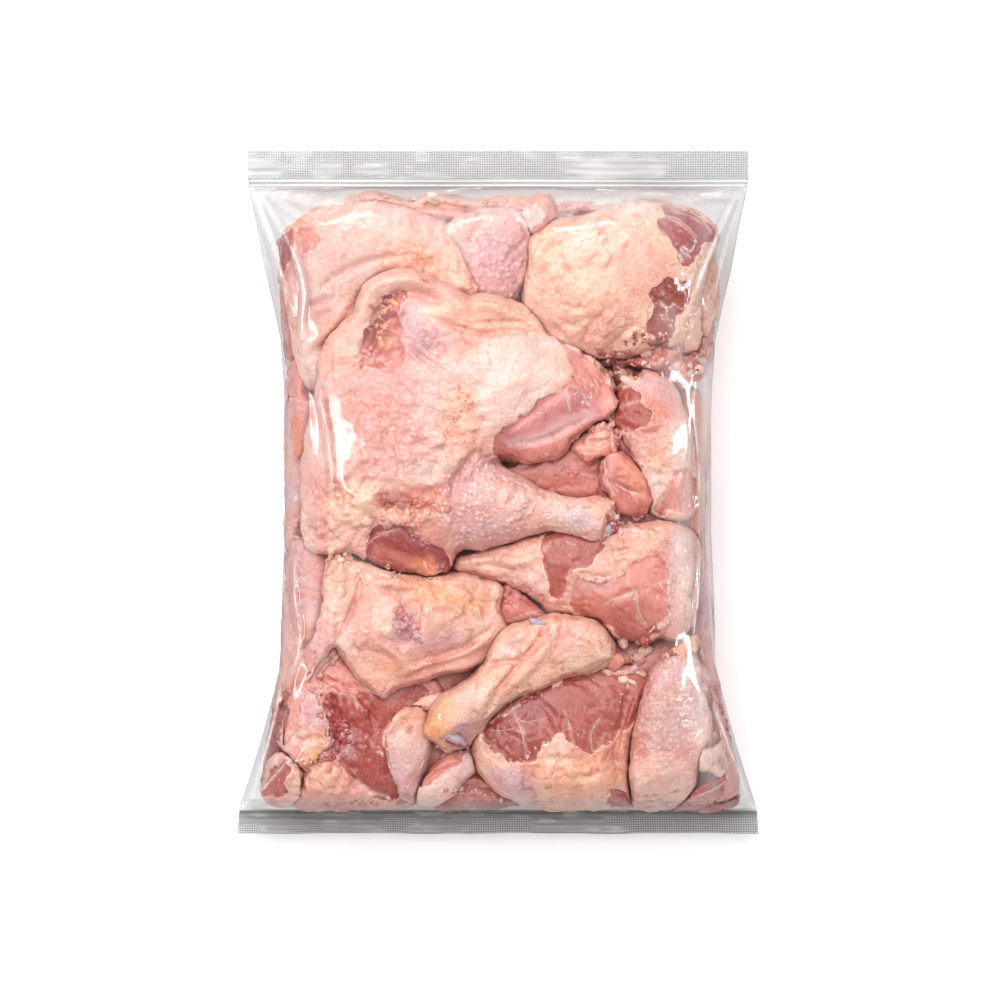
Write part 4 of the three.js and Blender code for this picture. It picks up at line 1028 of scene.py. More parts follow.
LOWER = [
    {"name": "flesh_low_gap", "skin": "brown", "rim": 40, "top": 58, "all_flesh": True, "meat": "brown",
     "outline": [(-34, -138), (-10, -132), (2, -142), (12, -154), (-10, -157), (-34, -156)],
     "folds": [(-2.5, 1.3, [(-30, -150), (-14, -147), (2, -151)]),
               (2.0, 1.6, [(-26, -146), (-12, -143), (0, -147)])],
     "stains": [("pink", 0.5, 3, [(-28, -148), (-10, -144), (4, -150), (-8, -156), (-28, -155)])]},
    {"name": "thigh_low_middle", "skin": "peach", "skin2": "apricot", "rim": 46, "top": 76, "full": 0.6,
     "outline": [(-11.8, -123.5), (-8.5, -117), (-3.5, -111), (11, -99), (31, -90), (51, -86),
                 (66, -86), (75, -92), (73.5, -101.5), (70.5, -108), (67.5, -116), (65.5, -123.5),
                 (64.5, -131), (64, -140), (64.5, -149), (65.5, -156), (53.5, -157.5), (41, -158),
                 (25, -158), (15.5, -156.5), (7.5, -153), (-1, -148), (-8, -140), (-12, -132)],
     "folds": [(-2.0, 1.5, [(19, -103), (26, -109), (30, -118), (31, -127)]),
               (-2.6, 1.6, [(66, -96), (62, -112), (58, -128), (60, -146)]),
               (2.0, 2.4, [(70, -98), (64, -118), (62, -136)]),
               (1.4, 3.5, [(-6, -130), (2, -140), (16, -150)]),
               (-1.2, 1.4, [(28, -138), (40, -142), (54, -138)])],
     "bumps": [(28, -122, 24, 2.0), (56, -154, 5, -2)],
     "stains": [("apricot", 0.8, 5, [(22, -126), (44, -130), (60, -126), (60, -144), (40, -152),
                                     (20, -146)]),
                ("white", 0.5, 3, [(22, -126), (30, -121), (34, -128), (26, -136)]),
                ("lilac", 0.9, 4, [(-4, -140), (6, -136), (18, -138), (20, -152), (10, -153)]),
                ("brown", 0.6, 3, [(62, -94), (74, -92), (72, -106), (66, -118), (62, -112)]),
                ("steel", 0.35, 4, [(0, -142), (12, -140), (18, -146), (12, -150)]),
                ("flesh", 0.6, 3.5, [(54, -124), (64, -112), (63, -136), (54, -138)]),
                ("orange", 0.45, 3, [(52, -142), (62, -136), (60, -146), (52, -148)])],
     "lumpy": [(1.6, 4.0, 4, [(22, -128), (44, -132), (60, -128), (60, -146), (30, -150)])],
     "meats": [("garnet", [(-7, -119), (2, -112), (12, -106), (16, -98), (28, -95), (30, -110),
                           (24, -120), (18, -132), (8, -133.5), (-2, -130), (-7, -124)]),
               ("sienna", [(16.8, -107), (25, -97), (37, -91), (47.4, -88), (57.5, -90), (74, -91.8),
                           (73, -103), (67.9, -114), (60.5, -120.4), (54.5, -123.4), (46.4, -129.5),
                           (42.4, -126.5), (34, -122.4), (31, -120.4), (23, -125.4), (20, -120)]),
               ("red", [(54, -149), (62, -149), (66, -156), (56, -157)])],
     "veins": [("white", 0.57, 0.60, [(6, -104), (9, -112), (12, -120), (14, -130)]),
               ("white", 0.48, 0.55, [(9, -112), (16, -114), (24, -111)]),
               ("white", 0.42, 0.55, [(32, -108), (36, -116), (38, -124)]),
               ("white", 0.42, 0.55, [(50, -112), (46, -120), (47, -127)]),
               ("grape", 0.6, 5.0, [(8, -104), (16, -106), (22, -104)]),
               ("garnet", 0.7, 7.0, [(0, -116), (12, -110), (24, -106)]),
               ("brown", 0.4, 5.0, [(-4, -124), (6, -127), (14, -126)]),
               ("white", 0.51, 1.20, [(-8, -120), (-8, -128), (0, -134), (10, -136)])]},
    {"name": "drumstick_low_right", "skin": "lilac", "skin2": "pink", "rim": 46, "top": 77,
     "pores": 0.55, "full": 0.6,
     "outline": [(78, -86), (73, -98), (69, -112), (66.5, -125.5), (66, -140.5), (67, -151),
                 (69, -156.5), (78, -158), (88.5, -156), (94.5, -151), (98, -145), (99, -138),
                 (101, -129), (105, -119), (104, -107), (100, -97), (99, -85), (95, -78), (88.5, -80)],
     "folds": [(1.2, 5.0, [(84, -90), (78, -112), (76, -136)]),
               (-1.5, 1.6, [(95, -84), (99, -100), (103, -114)])],
     "stains": [("pale", 0.8, 6, [(66, -136), (84, -132), (98, -140), (90, -156), (70, -157)]),
                # painted shade: this flesh stain darkens the drumstick's left flank, which turns from the
                # light
                ("flesh", 0.7, 4, [(72, -92), (79, -94), (79, -114), (76, -128), (67, -130)]),
                ("greige", 0.7, 6, [(76, -96), (92, -98), (96, -124), (82, -134), (74, -120)]),
                ("white", 0.8, 4, [(99, -98), (104, -104), (105, -120), (100, -130), (97, -116)]),
                ("amber", 0.25, 4, [(68, -140), (80, -148), (72, -156)]),
                ("white", 0.6, 3, [(90, -82), (97, -86), (99, -98), (93, -96)])]},
    {"name": "flesh_low_right", "skin": "red", "rim": 38, "top": 63, "all_flesh": True, "meat": "red",
     "outline": [(84, -157), (92, -151), (101, -145), (109, -142), (116, -139), (119, -145),
                 (120.5, -151), (119, -157), (108, -158.5), (94, -158.5)],
     "folds": [(-2.2, 1.3, [(94, -155), (104, -151), (112, -146)]),
               (2.0, 1.8, [(98, -153), (108, -149), (116, -144)]),
               (-2.0, 1.2, [(100, -157), (110, -154), (118, -150)])],
     "stains": [("pink", 0.6, 2.5, [(92, -154), (104, -150), (116, -150), (104, -156)])],
     "veins": [("white", 0.42, 0.60, [(96, -152), (106, -148), (114, -144)])]},
    {"name": "flap_low_right", "skin": "white", "skin2": "pale", "rim": 50, "top": 70, "under": 8,
     "grow": 1.0,
     "outline": [(96, -131), (100, -127), (107, -127.5), (117, -119.5), (114.5, -129), (118.5, -136),
                 (114, -143), (106, -139), (99, -138)],
     "folds": [(1.5, 1.5, [(101, -129), (109, -131), (117, -126)]),
               (-1.5, 1.3, [(104, -133), (110, -136), (117, -142)])],
     "stains": [("red", 0.6, 1.5, [(108, -131), (112, -132), (112, -138), (108, -136)])]},
    {"name": "quarter_low_left", "skin": "pink", "skin2": "rose", "rim": 43, "top": 70, "full": 0.55,
     "wave": 2.2,
     "outline": [(-98, -80), (-79, -78), (-57.5, -90), (-34, -92), (-27, -101.5), (-34, -111.5),
                 (-46.5, -112), (-53, -118), (-53, -128), (-47, -138), (-43, -149), (-44, -156),
                 (-70.5, -157.5), (-99, -158), (-100, -152), (-98, -144), (-97, -136), (-106, -128),
                 (-112, -118), (-111, -108.5), (-108, -100), (-103, -91.5)],
     "folds": [(-3.5, 1.8, [(-86, -98), (-80, -108), (-80, -120), (-84, -132)]),
               (-3.0, 1.7, [(-104, -98), (-109, -112), (-110, -124)]),
               (2.2, 2.2, [(-107, -96), (-112, -112), (-112, -126)]),
               (-3.0, 1.6, [(-97, -134), (-97, -146), (-100, -155)]),
               (-2.8, 1.5, [(-82, -131), (-74, -140), (-66, -148), (-60, -152)]),
               (2.0, 2.0, [(-90, -152), (-76, -153), (-62, -152)]),
               (-2.6, 1.4, [(-94, -155), (-76, -156), (-56, -153)]),
               (-1.6, 1.6, [(-66, -100), (-62, -114), (-64, -128)]),
               (-2.0, 1.4, [(-92, -86), (-84, -94), (-72, -98)])],
     "bumps": [(-90, -142, 11, 2), (-72, -118, 7, -3), (-62, -134, 12, 2), (-58, -104, 9, 1.5)],
     "lumpy": [(3.4, 6.0, 4, [(-88, -100), (-66, -100), (-62, -128), (-72, -138), (-86, -130)]),
               (2.6, 5.0, 4, [(-100, -132), (-80, -134), (-60, -154), (-98, -156)])],
     "stains": [("pink", 0.8, 5, [(-98, -134), (-82, -134), (-72, -146), (-76, -154), (-98, -154)]),
                ("apricot", 0.7, 4, [(-94, -136), (-84, -136), (-78, -146), (-92, -150)]),
                ("rose", 0.8, 4, [(-104, -90), (-90, -84), (-86, -96), (-100, -100), (-110, -112),
                                  (-110, -100)])],
     "meats": [("salmon", [(-79, -80), (-73, -85), (-67, -93), (-62, -98), (-72, -100), (-84, -98),
                           (-90, -92), (-85, -84)]),
               ("red", [(-84, -100), (-68, -101), (-58, -96), (-40, -94), (-34, -100), (-40, -107),
                        (-50, -112), (-56, -120), (-55, -132), (-50, -142), (-47, -152), (-58, -152),
                        (-68, -146), (-76, -138), (-82, -126), (-86, -112)]),
               ("plum", [(-82, -118), (-75, -118), (-69, -124), (-72, -132), (-80, -132), (-84, -125)]),
               ("red", [(-112, -102), (-105, -96), (-104, -110), (-107, -126), (-113, -128)])],
     "veins": [("blood", 0.7, 3.5, [(-84, -104), (-79, -112), (-78, -122), (-84, -128)]),
               ("white", 0.48, 0.60, [(-80, -100), (-72, -101), (-70, -108)]),
               ("white", 0.48, 0.60, [(-76, -116), (-73, -122), (-75, -130)]),
               ("white", 0.42, 0.68, [(-80, -132), (-72, -140), (-66, -148), (-54, -151)]),
               ("pink", 0.8, 1.2, [(-82, -98), (-92, -96), (-100, -104), (-104, -118)]),
               ("white", 0.42, 0.60, [(-68, -90), (-64, -98), (-56, -101)])]},
    {"name": "shank_end_left", "skin": "pink", "skin2": "lilac", "rim": 50, "top": 72, "full": 0.5,
     "lumpy": [(1.2, 7.0, 3, [(-98, -100), (-86, -98), (-82, -126), (-100, -132), (-106, -118)])],
     "outline": [(-99, -99), (-92.5, -96), (-88, -98), (-85, -105.5), (-83.5, -112), (-82, -118),
                 (-81.5, -124.5), (-86, -130), (-92.5, -133.4), (-99, -134), (-103.5, -130),
                 (-108, -124.5), (-107, -116.5), (-104.5, -109.5), (-101, -104)],
     "folds": [(-1.6, 1.5, [(-104, -116), (-96, -118), (-91, -112)]),
               (-1.5, 1.4, [(-100, -128), (-94, -122), (-86, -122)])],
     "stains": [("lilac", 0.9, 3, [(-99, -101), (-90, -98), (-86, -110), (-92, -114), (-100, -110)]),
                ("white", 0.6, 3, [(-106, -120), (-100, -114), (-98, -124), (-103, -128)]),
                ("apricot", 0.9, 3, [(-94, -120), (-84, -118), (-84, -128), (-94, -132)])]},
    {"name": "stub_low_left", "skin": "pale", "skin2": "pink", "rim": 46, "top": 67, "full": 0.5,
     "outline": [(-112, -132), (-106, -129.4), (-99.5, -133), (-97.5, -138), (-98, -147),
                 (-99.7, -153.3), (-103.7, -156.5), (-110, -157), (-115, -155), (-117.3, -149),
                 (-116, -142), (-114.5, -136)],
     "folds": [(2.2, 1.5, [(-113, -152), (-107, -155), (-101, -152), (-100, -144)]),
               (-2.5, 1.5, [(-111, -150), (-105, -152), (-103, -145)])],
     "stains": [("white", 0.8, 2, [(-112, -134), (-105, -132), (-108, -140), (-114, -144)])],
     "lumpy": [(2.0, 4.0, 3, [(-114, -134), (-100, -134), (-100, -152), (-116, -152)])],
     "meats": [("flesh", [(-113, -137.5), (-106, -133), (-101.5, -136), (-104, -140.5), (-106, -145.5),
                          (-103.5, -150.5), (-111, -152), (-116, -149), (-114, -143)])],
     "veins": [("white", 0.54, 0.90, [(-113, -152), (-107, -155.5), (-101, -152), (-100, -142)])]},
    {"name": "thigh_low_left", "skin": "lilac", "skin2": "grey", "rim": 50, "top": 71, "full": 0.55,
     "outline": [(-57, -120), (-54.3, -114), (-48, -107), (-40, -106), (-34, -111), (-33, -120),
                 (-34, -128), (-35.5, -134), (-38, -141), (-40.5, -150), (-43.5, -154), (-47, -153.5),
                 (-50, -146), (-54, -139.8), (-57, -131.8)],
     "folds": [(1.8, 1.8, [(-56, -120), (-50, -111), (-42, -109), (-37, -114)]),
               (-1.4, 1.4, [(-53, -121), (-48, -114), (-41, -113)])],
     "stains": [("apricot", 0.8, 3, [(-54, -114), (-46, -106), (-34, -108), (-38, -115), (-48, -114)]),
                ("pale", 0.6, 4, [(-48, -120), (-40, -120), (-38, -134), (-46, -136)]),
                ("pink", 0.5, 2, [(-48, -146), (-42, -142), (-42, -152), (-46, -152)])]},
    {"name": "skin_strip_low", "skin": "apricot", "skin2": "peach", "rim": 52, "top": 68, "under": 7,
     "outline": [(-50, -107), (-42, -102), (-32, -99), (-25, -101), (-27, -108), (-34, -111),
                 (-43, -110)]},
    {"name": "flesh_low_left", "skin": "pale", "skin2": "lilac", "rim": 46, "top": 66, "full": 0.55,
     "outline": [(-41, -148.5), (-38.5, -141), (-32, -135.8), (-24, -128), (-16, -128), (-11, -133),
                 (-12, -139), (-17.5, -144), (-22.5, -150), (-28, -155), (-35, -156.5), (-40, -154.5)],
     "folds": [(-1.8, 1.3, [(-38, -146), (-30, -140), (-20, -136)])],
     "meats": [("salmon", [(-39, -145), (-34, -136), (-24, -127), (-15, -128), (-20, -135),
                           (-30, -141)])]},
    {"name": "quarter_low_flap", "skin": "rose", "skin2": "salmon", "rim": 55, "top": 70,
     "outline": [(-89, -72), (-80, -69), (-78, -80), (-84, -90), (-94, -98), (-104, -104), (-108, -100),
                 (-102, -88), (-96, -80)],
     "folds": [(-2.5, 1.4, [(-82, -74), (-86, -84), (-94, -92), (-102, -98)]),
               (2.0, 1.8, [(-88, -76), (-93, -86), (-102, -95)])],
     "meats": [("rose", [(-84, -72), (-79, -74), (-82, -84), (-90, -90), (-88, -80)])]},
]

UPPER = [
    {"name": "skin_low_left", "skin": "peach", "skin2": "pink", "rim": 56, "top": 79, "full": 0.55,
     "wave": 2.4, "grow": 0.8,
     "lumpy": [(2.4, 5.0, 4, [(-58, -46), (-40, -46), (-38, -72), (-56, -76)]),
               (1.6, 5.0, 5, [(-38, -44), (-4, -50), (-4, -64), (-20, -70), (-36, -60)]),
               (1.8, 6.0, 3, [(-84, -34), (-70, -32), (-72, -60), (-82, -78), (-90, -70)])],
     "outline": [(-77, -29), (-69, -32), (-58, -37), (-49, -39), (-36.5, -40), (-21.5, -40), (-9, -42),
                 (1, -46), (0.5, -56.5), (3, -64), (5.5, -67.5), (1.5, -73), (-1, -78), (-5, -84.5),
                 (-14, -88), (-24, -90), (-34, -92.5), (-42.5, -95), (-50, -97.5), (-54, -100),
                 (-57.5, -101), (-62, -98.5), (-67.5, -93.5), (-72, -88), (-76.5, -81.5), (-80, -76),
                 (-85, -80), (-92, -89), (-98, -98), (-103, -100), (-106, -96), (-101, -87), (-94, -77),
                 (-89, -66), (-87, -52), (-86, -42), (-84, -33)],
     "folds": [(-3.6, 1.5, [(-68, -36), (-69, -48), (-73, -60), (-79, -72), (-81, -78)]),
               (3.2, 3.4, [(-79, -33), (-78, -46), (-81, -58), (-87, -72), (-98, -92)]),
               (-2.2, 1.2, [(-85, -42), (-80, -46), (-72, -44)]),
               (-2.0, 1.2, [(-87, -58), (-81, -62), (-75, -60)]),
               (2.0, 2.4, [(-68, -40), (-60, -44), (-48, -45), (-36, -47)]),
               (-2.0, 1.5, [(-60, -48), (-50, -50), (-38, -49)]),
               (-3.2, 1.5, [(-48, -94), (-36, -88), (-22, -84), (-6, -78)]),
               (2.6, 2.0, [(-44, -89), (-30, -84), (-16, -80), (-4, -72)]),
               (-2.2, 1.4, [(-40, -85), (-24, -79), (-12, -74), (-2, -66)]),
               (-2.4, 1.8, [(-34, -81), (-26, -82), (-16, -78), (-12, -70)]),
               (1.8, 2.2, [(-60, -74), (-50, -80), (-44, -90)]),
               (-1.6, 1.4, [(-64, -78), (-54, -82), (-50, -92)]),
               (1.6, 2.0, [(-20, -48), (-12, -56), (-6, -66)])],
     "bumps": [(-45, -58, 7, -3.5), (-24, -80, 9, -3), (-30, -54, 12, 2.5), (-58, -66, 10, 2.5),
               (-38, -72, 5, 1.5), (-52, -56, 4, 2), (-48, -68, 4, 1.5)],
     "stains": [("white", 0.8, 4, [(-87, -50), (-78, -46), (-72, -56), (-71, -74), (-80, -79),
                                   (-88, -68)]),
                ("cream", 0.8, 3, [(-84, -33), (-72, -31), (-70, -50), (-76, -62), (-86, -60)]),
                ("pink", 0.85, 3, [(-88, -64), (-79, -68), (-92, -88), (-103, -98), (-103, -88)]),
                ("amber", 0.65, 6, [(-46, -42), (-20, -46), (-4, -54), (-10, -60), (-34, -56),
                                    (-44, -50)]),
                ("grape", 0.9, 3.5, [(-51, -60), (-44, -58), (-39, -65), (-41, -72), (-47, -75),
                                     (-51, -69)]),
                ("plum", 0.6, 2.0, [(-47, -62), (-43, -63), (-44, -70), (-48, -70)]),
                ("lilac", 0.75, 4, [(-60, -74), (-48, -70), (-34, -70), (-20, -70), (-14, -76),
                                    (-30, -80), (-50, -78)]),
                ("grape", 0.6, 3, [(-32, -79), (-20, -78), (-14, -79), (-16, -83), (-27, -84)]),
                ("peach", 0.8, 3, [(-44, -82), (-24, -76), (-4, -66), (2, -72), (-8, -84), (-36, -91)]),
                ("apricot", 0.7, 5, [(-66, -84), (-50, -82), (-42, -88), (-52, -97), (-62, -95)]),
                ("rose", 0.5, 4, [(-74, -50), (-64, -52), (-66, -66), (-76, -68)])],
     "veins": [("rose", 0.8, 1.2, [(-48, -95), (-36, -90), (-22, -86), (-6, -80)]),
               ("rose", 0.6, 1.0, [(-40, -86), (-24, -81), (-10, -74)]),
               ("white", 0.36, 0.90, [(-56, -62), (-54, -70), (-48, -76)])]},
    {"name": "skin_roll_right", "skin": "apricot", "skin2": "peach", "rim": 56, "top": 70,
     "limbs": [[(80, -88, 62, 3.5), (86, -84, 65, 4.2), (93, -79, 66, 4.8), (101, -75, 62, 4.6),
                (104.5, -81, 57, 3.6)]],
     "stains": [("orange", 0.7, 2, [(90, -78), (100, -73), (98, -77), (90, -82)]),
                ("white", 0.9, 2, [(96, -76), (101, -78), (103, -84), (99, -84)]),
                ("pink", 0.7, 2, [(76, -92), (84, -88), (88, -82), (82, -82)])]},
    {"name": "drumstick_low", "skin": "cream", "skin2": "peach", "rim": 60, "top": 82, "full": 0.55,
     "grow": 0.8,
     "outline": [(-36, -119), (-35.5, -113), (-32.5, -106.5), (-26.5, -100), (-19, -96), (-12, -90),
                 (-8, -85), (-4, -78), (-0.5, -71), (4, -67), (11, -65), (18.5, -63), (27, -61),
                 (34, -61), (45, -63), (53, -67.5), (57, -74.5), (59, -81), (64, -82), (67, -86),
                 (65, -90.5), (57, -92.5), (45.5, -90.5), (33, -92), (25, -95), (16.5, -99), (7, -103),
                 (0, -108), (-5.5, -114), (-7.5, -119.5), (-12, -127), (-19, -130), (-26.5, -128),
                 (-31.5, -124)],
     "folds": [(-3.2, 1.3, [(25, -63), (19, -74), (13, -82), (3, -94), (-5, -107)]),
               (2.4, 2.2, [(29, -66), (23, -78), (15, -88), (5, -98)]),
               (-3.0, 1.3, [(9, -78), (10, -83), (-4, -85), (-14, -90)]),
               (2.2, 2.4, [(4, -74), (9, -72), (16, -68)]),
               (1.4, 2.0, [(-2, -96), (-8, -104), (-10, -114)]),
               (1.5, 3.0, [(40, -74), (50, -80), (56, -86)])],
     "bumps": [(-24, -116, 9, 3), (10, -70, 6, 1.5), (40, -76, 12, 2)],
     "cuts": [((-19, -127, 64), (0.35, -0.72, 0.5))],
     "stains": [("amber", 0.95, 5, [(-38, -118), (-33, -106), (-24, -100), (-22, -112), (-28, -122)]),
                ("lilac", 0.75, 3.5, [(-20, -112), (-12, -109), (-11, -117), (-18, -119)]),
                ("pink", 0.85, 5, [(22, -68), (34, -66), (41, -72), (36, -80), (24, -78)]),
                ("rose", 0.5, 3, [(27, -72), (34, -71), (33, -77), (27, -77)]),
                ("pale", 0.7, 3, [(-2, -78), (8, -70), (16, -68), (12, -78), (2, -84)]),
                ("orange", 0.75, 2, [(18, -61), (30, -61), (40, -63), (32, -64), (22, -63.5)]),
                ("orange", 0.95, 2, [(55, -83), (65, -82), (67, -88), (60, -93), (54, -90)]),
                ("white", 0.5, 4, [(-20, -97), (-8, -93), (0, -98), (-10, -106), (-20, -104)])],
     "veins": [("rose", 0.6, 0.9, [(24, -64), (18, -75), (12, -83), (2, -95)]),
               ("orange", 0.5, 1.2, [(10, -102), (24, -96), (40, -92)])]},
    {"name": "quarter_centre", "skin": "pale", "skin2": "pink", "rim": 56, "top": 84, "full": 0.6,
     "wave": 1.8, "pores": 0.12, "blend": 0.10, "grow": 0.8,
     "pored": [(0.95, 4, [(-24, 14), (-4, 17), (6, 6), (22, 0), (36, -4), (34, -20), (12, -24),
                          (-10, -30), (-26, -22), (-30, -4)]),
               (0.5, 8, [(-60, 44), (-34, 56), (-22, 30), (-30, 4), (-58, 4), (-74, 24)])],
     "outline": [(-90, 51), (-89, 61), (-87, 71), (-79.5, 80.5), (-72, 88), (-69.5, 96.5), (-64.5, 104),
                 (-56.5, 108), (-45.5, 110), (-36, 108), (-24, 102), (-14.5, 97.5), (-6.5, 98), (1, 97),
                 (10.5, 93.5), (17, 89), (22.5, 81.5), (27, 77.5), (35.5, 72.5), (45, 67.5), (52.5, 61),
                 (57, 53), (59.5, 44.5), (56.5, 38), (47, 32), (39, 26), (31, 17), (23, 14.5), (15, 14),
                 (7, 16.5), (1, 17), (-5, 14), (-10, 5), (-12, -8), (-16, -22), (-22, -33),
                 (-24, -39.5), (-29, -42.5), (-35, -43), (-42.5, -41), (-50, -39.5), (-58, -37),
                 (-66, -33), (-72.5, -30), (-79.5, -30.5), (-87, -30), (-94, -28.5), (-96.5, -21.5),
                 (-97, -9), (-97.5, 11), (-96, 26), (-93, 38.5)],
     "limbs": [[(-26, -6, 58, 18), (-9, -6.5, 60, 23), (1, -7.5, 62.5, 20), (11, -8.5, 66, 15.8),
                (18.5, -9.5, 68, 12.2), (26, -10, 69.5, 9.8), (33.5, -11.5, 70, 9.3),
                (41, -13, 70, 10.4), (48.5, -14, 69.5, 12.3), (54, -14.5, 69, 12)]],
     "cuts": [((57.5, -16, 70), (0.82, -0.22, 0.5))],
     "folds": [(4.0, 4.0, [(-86, 66), (-76, 80), (-68, 92), (-63, 101), (-54, 105), (-42, 105.5),
                           (-30, 102), (-18, 96)]),
               (-5.0, 2.6, [(-66, 72), (-61, 82), (-57, 92), (-50, 98), (-40, 98), (-30, 94)]),
               (-3.2, 1.8, [(-70, 62), (-66, 74), (-58, 84)]),
               (3.5, 4.5, [(-30, 90), (-18, 92), (-4, 93), (8, 88), (18, 82)]),
               (-3.2, 1.5, [(-34, 86), (-22, 82), (-8, 78.5), (6, 79.5), (20, 78)]),
               (-1.8, 1.2, [(-14, 82), (-4, 84), (8, 83)]),
               (-1.6, 1.2, [(2, 85), (10, 84), (18, 80)]),
               (-2.0, 1.3, [(-42, 70), (-34, 64), (-26, 60)]),
               (-1.6, 1.2, [(-44, 66), (-36, 61), (-30, 56)]),
               (-4.0, 1.8, [(-12, 20), (-16, 14), (-21, 7), (-23, -2)]),
               (2.0, 3.0, [(-6, 20), (-14, 24), (-20, 14)]),
               (-3.0, 2.0, [(-60, -8), (-52, -7), (-44, -10), (-38, -6)]),
               (2.5, 2.6, [(-56, -16), (-48, -14), (-40, -16), (-34, -10)]),
               (-2.5, 1.6, [(-68, -26), (-60, -20), (-48, -17), (-40, -22), (-30, -28)]),
               (-2.2, 1.6, [(-88, 46), (-84, 30), (-86, 14)]),
               (-1.5, 2.0, [(-92, 4), (-80, -6), (-72, -20)]),
               (-1.6, 1.5, [(0, 28), (12, 36), (26, 46), (34, 54)]),
               (-1.4, 1.3, [(6, 22), (24, 26), (42, 35)])],
     "bumps": [(-52, 20, 32, 1.5), (-58, 76, 10, -3), (20, 60, 16, 1.5), (-44, -34, 10, 1.5),
               (-33, -7, 4, -2.5), (44, 50, 10, 1.5), (-38, 78, 9, 1.5), (-84, -10, 12, -2)],
     "stains": [("grey", 0.55, 8, [(-60, 50), (-20, 60), (-10, 40), (-30, 10), (-60, 0), (-70, 30)]),
                ("white", 0.55, 8, [(-10, 72), (20, 76), (36, 60), (24, 46), (0, 34), (-14, 50)]),
                ("peach", 0.75, 5, [(-88, 62), (-74, 88), (-60, 106), (-36, 107), (-16, 97), (-34, 96),
                                    (-54, 98), (-68, 80), (-78, 62)]),
                ("apricot", 0.85, 3, [(-34, 91), (-20, 96), (-4, 98), (12, 93), (24, 80), (8, 79),
                                      (-12, 79), (-26, 83)]),
                ("orange", 0.45, 4, [(-80, 68), (-72, 68), (-70, 56), (-80, 54)]),
                ("salmon", 0.5, 5, [(-34, 80), (-20, 80), (-8, 76), (-16, 66), (-30, 70)]),
                ("salmon", 0.5, 4, [(-46, 104), (-30, 103), (-14, 97), (-24, 92), (-42, 96)]),
                ("amber", 0.32, 5, [(-24, 54), (-11, 54), (-12, 32), (-24, 27), (-27, 38)]),
                ("orange", 0.55, 2, [(-20, 50), (-15, 51), (-13, 46), (-19, 45)]),
                ("orange", 0.5, 2, [(-27, 31), (-22, 33), (-21, 29), (-26, 27)]),
                ("lilac", 0.9, 3, [(-48, 93.5), (-42, 95), (-35, 93), (-40, 88), (-34, 84.7),
                                   (-28, 80.7), (-26, 72.7), (-31, 66), (-37.5, 66), (-44, 66),
                                   (-48, 73), (-49.5, 82)]),
                ("grape", 0.45, 2.5, [(-44, 82), (-36, 82), (-34, 72), (-42, 70)]),
                ("pink", 0.6, 6, [(-96, 10), (-86, 12), (-78, -8), (-84, -26), (-95, -24)]),
                ("rose", 0.6, 4, [(-94, -8), (-86, -6), (-82, -20), (-90, -27)]),
                ("peach", 0.6, 5, [(-66, 4), (-40, 6), (-30, -8), (-50, -16), (-66, -12)]),
                ("rose", 0.75, 9, [(-74, 64), (-48, 70), (-38, 52), (-40, 22), (-52, 2), (-68, 4),
                                   (-74, 30)]),
                ("salmon", 0.75, 5, [(-46, -14), (-30, -14), (-24, -28), (-36, -34)]),
                ("orange", 0.35, 4, [(-62, -6), (-50, -4), (-48, -12), (-60, -14)]),
                ("cream", 0.85, 3, [(-82, 3), (-62, 4), (-58, -8), (-64, -17), (-82, -15)]),
                ("salmon", 0.85, 3, [(-44, 2), (-24, 3), (-22, -6), (-34, -10), (-44, -6)]),
                ("red", 0.75, 2, [(-60, -1), (-52, 1), (-42, -2), (-40, -7), (-50, -8), (-60, -6)]),
                ("rose", 0.7, 2, [(-37, -5), (-31, -4), (-29, -9), (-35, -11)]),
                ("orange", 0.6, 2, [(-32, 0), (-24, 2), (-25, -3), (-31, -4)]),
                ("cream", 0.6, 4, [(-26, 22), (-10, 24), (-16, 10), (-26, 8)]),
                ("lilac", 0.85, 6, [(-22, 12), (-6, 16), (8, 6), (16, -2), (12, -16), (-4, -28),
                                    (-20, -24), (-26, -6)]),
                ("pale", 0.6, 6, [(-4, 4), (10, 4), (24, 0), (40, -4), (40, -14), (20, -14), (0, -12)]),
                ("steel", 0.55, 3.5, [(34, -8), (44, -8), (47, -14), (40, -18), (34, -14)]),
                ("peach", 0.9, 3, [(44, -4), (52, -3), (60, -8), (60, -14), (52, -14), (46, -10)]),
                ("pink", 0.7, 3, [(30, -16), (44, -18), (52, -24), (40, -24)])],
     "lumpy": [(2.9, 6.0, 4, [(-84, 2), (-60, 3), (-26, 2), (-28, -12), (-44, -18), (-66, -16),
                              (-84, -16)]),
               (3.2, 4.5, 3, [(-66, 62), (-48, 64), (-46, 96), (-58, 96)]),
               (1.7, 4.0, 6, [(-90, 56), (-60, 50), (-34, 56), (-24, 30), (-34, 6), (-84, 6),
                              (-94, 30)]),
               (2.0, 3.5, 5, [(-30, 56), (-8, 54), (-8, 24), (-26, 16), (-34, 34)]),
               (2.6, 4.0, 3, [(-96, -8), (-84, -8), (-78, -28), (-94, -27)])],
     "meats": [("salmon", [(-56.6, 96.7), (-50, 98), (-45.5, 97.5), (-48, 93.5), (-50, 87), (-49.5, 79),
                           (-48, 72.7), (-45.5, 66.3), (-50, 62.3), (-63, 60), (-69, 63), (-66, 71),
                           (-64.5, 77.5), (-58.2, 84.7), (-55.8, 90)]),
               ("shell", [(27.5, 77.3), (35.5, 73), (45, 67.5), (52.5, 61), (56.5, 53), (60, 46.5),
                          (60, 41), (54.8, 36), (46.8, 30), (38.9, 24), (34, 18), (29.3, 13.5),
                          (14.9, 12), (5.4, 15), (-1.8, 20), (-1, 28.3), (7, 33.8), (14.9, 40.2),
                          (24.5, 47.3), (32.5, 52.2), (36.9, 56.1), (37.3, 61), (35.7, 67.3),
                          (31, 72.5)]),
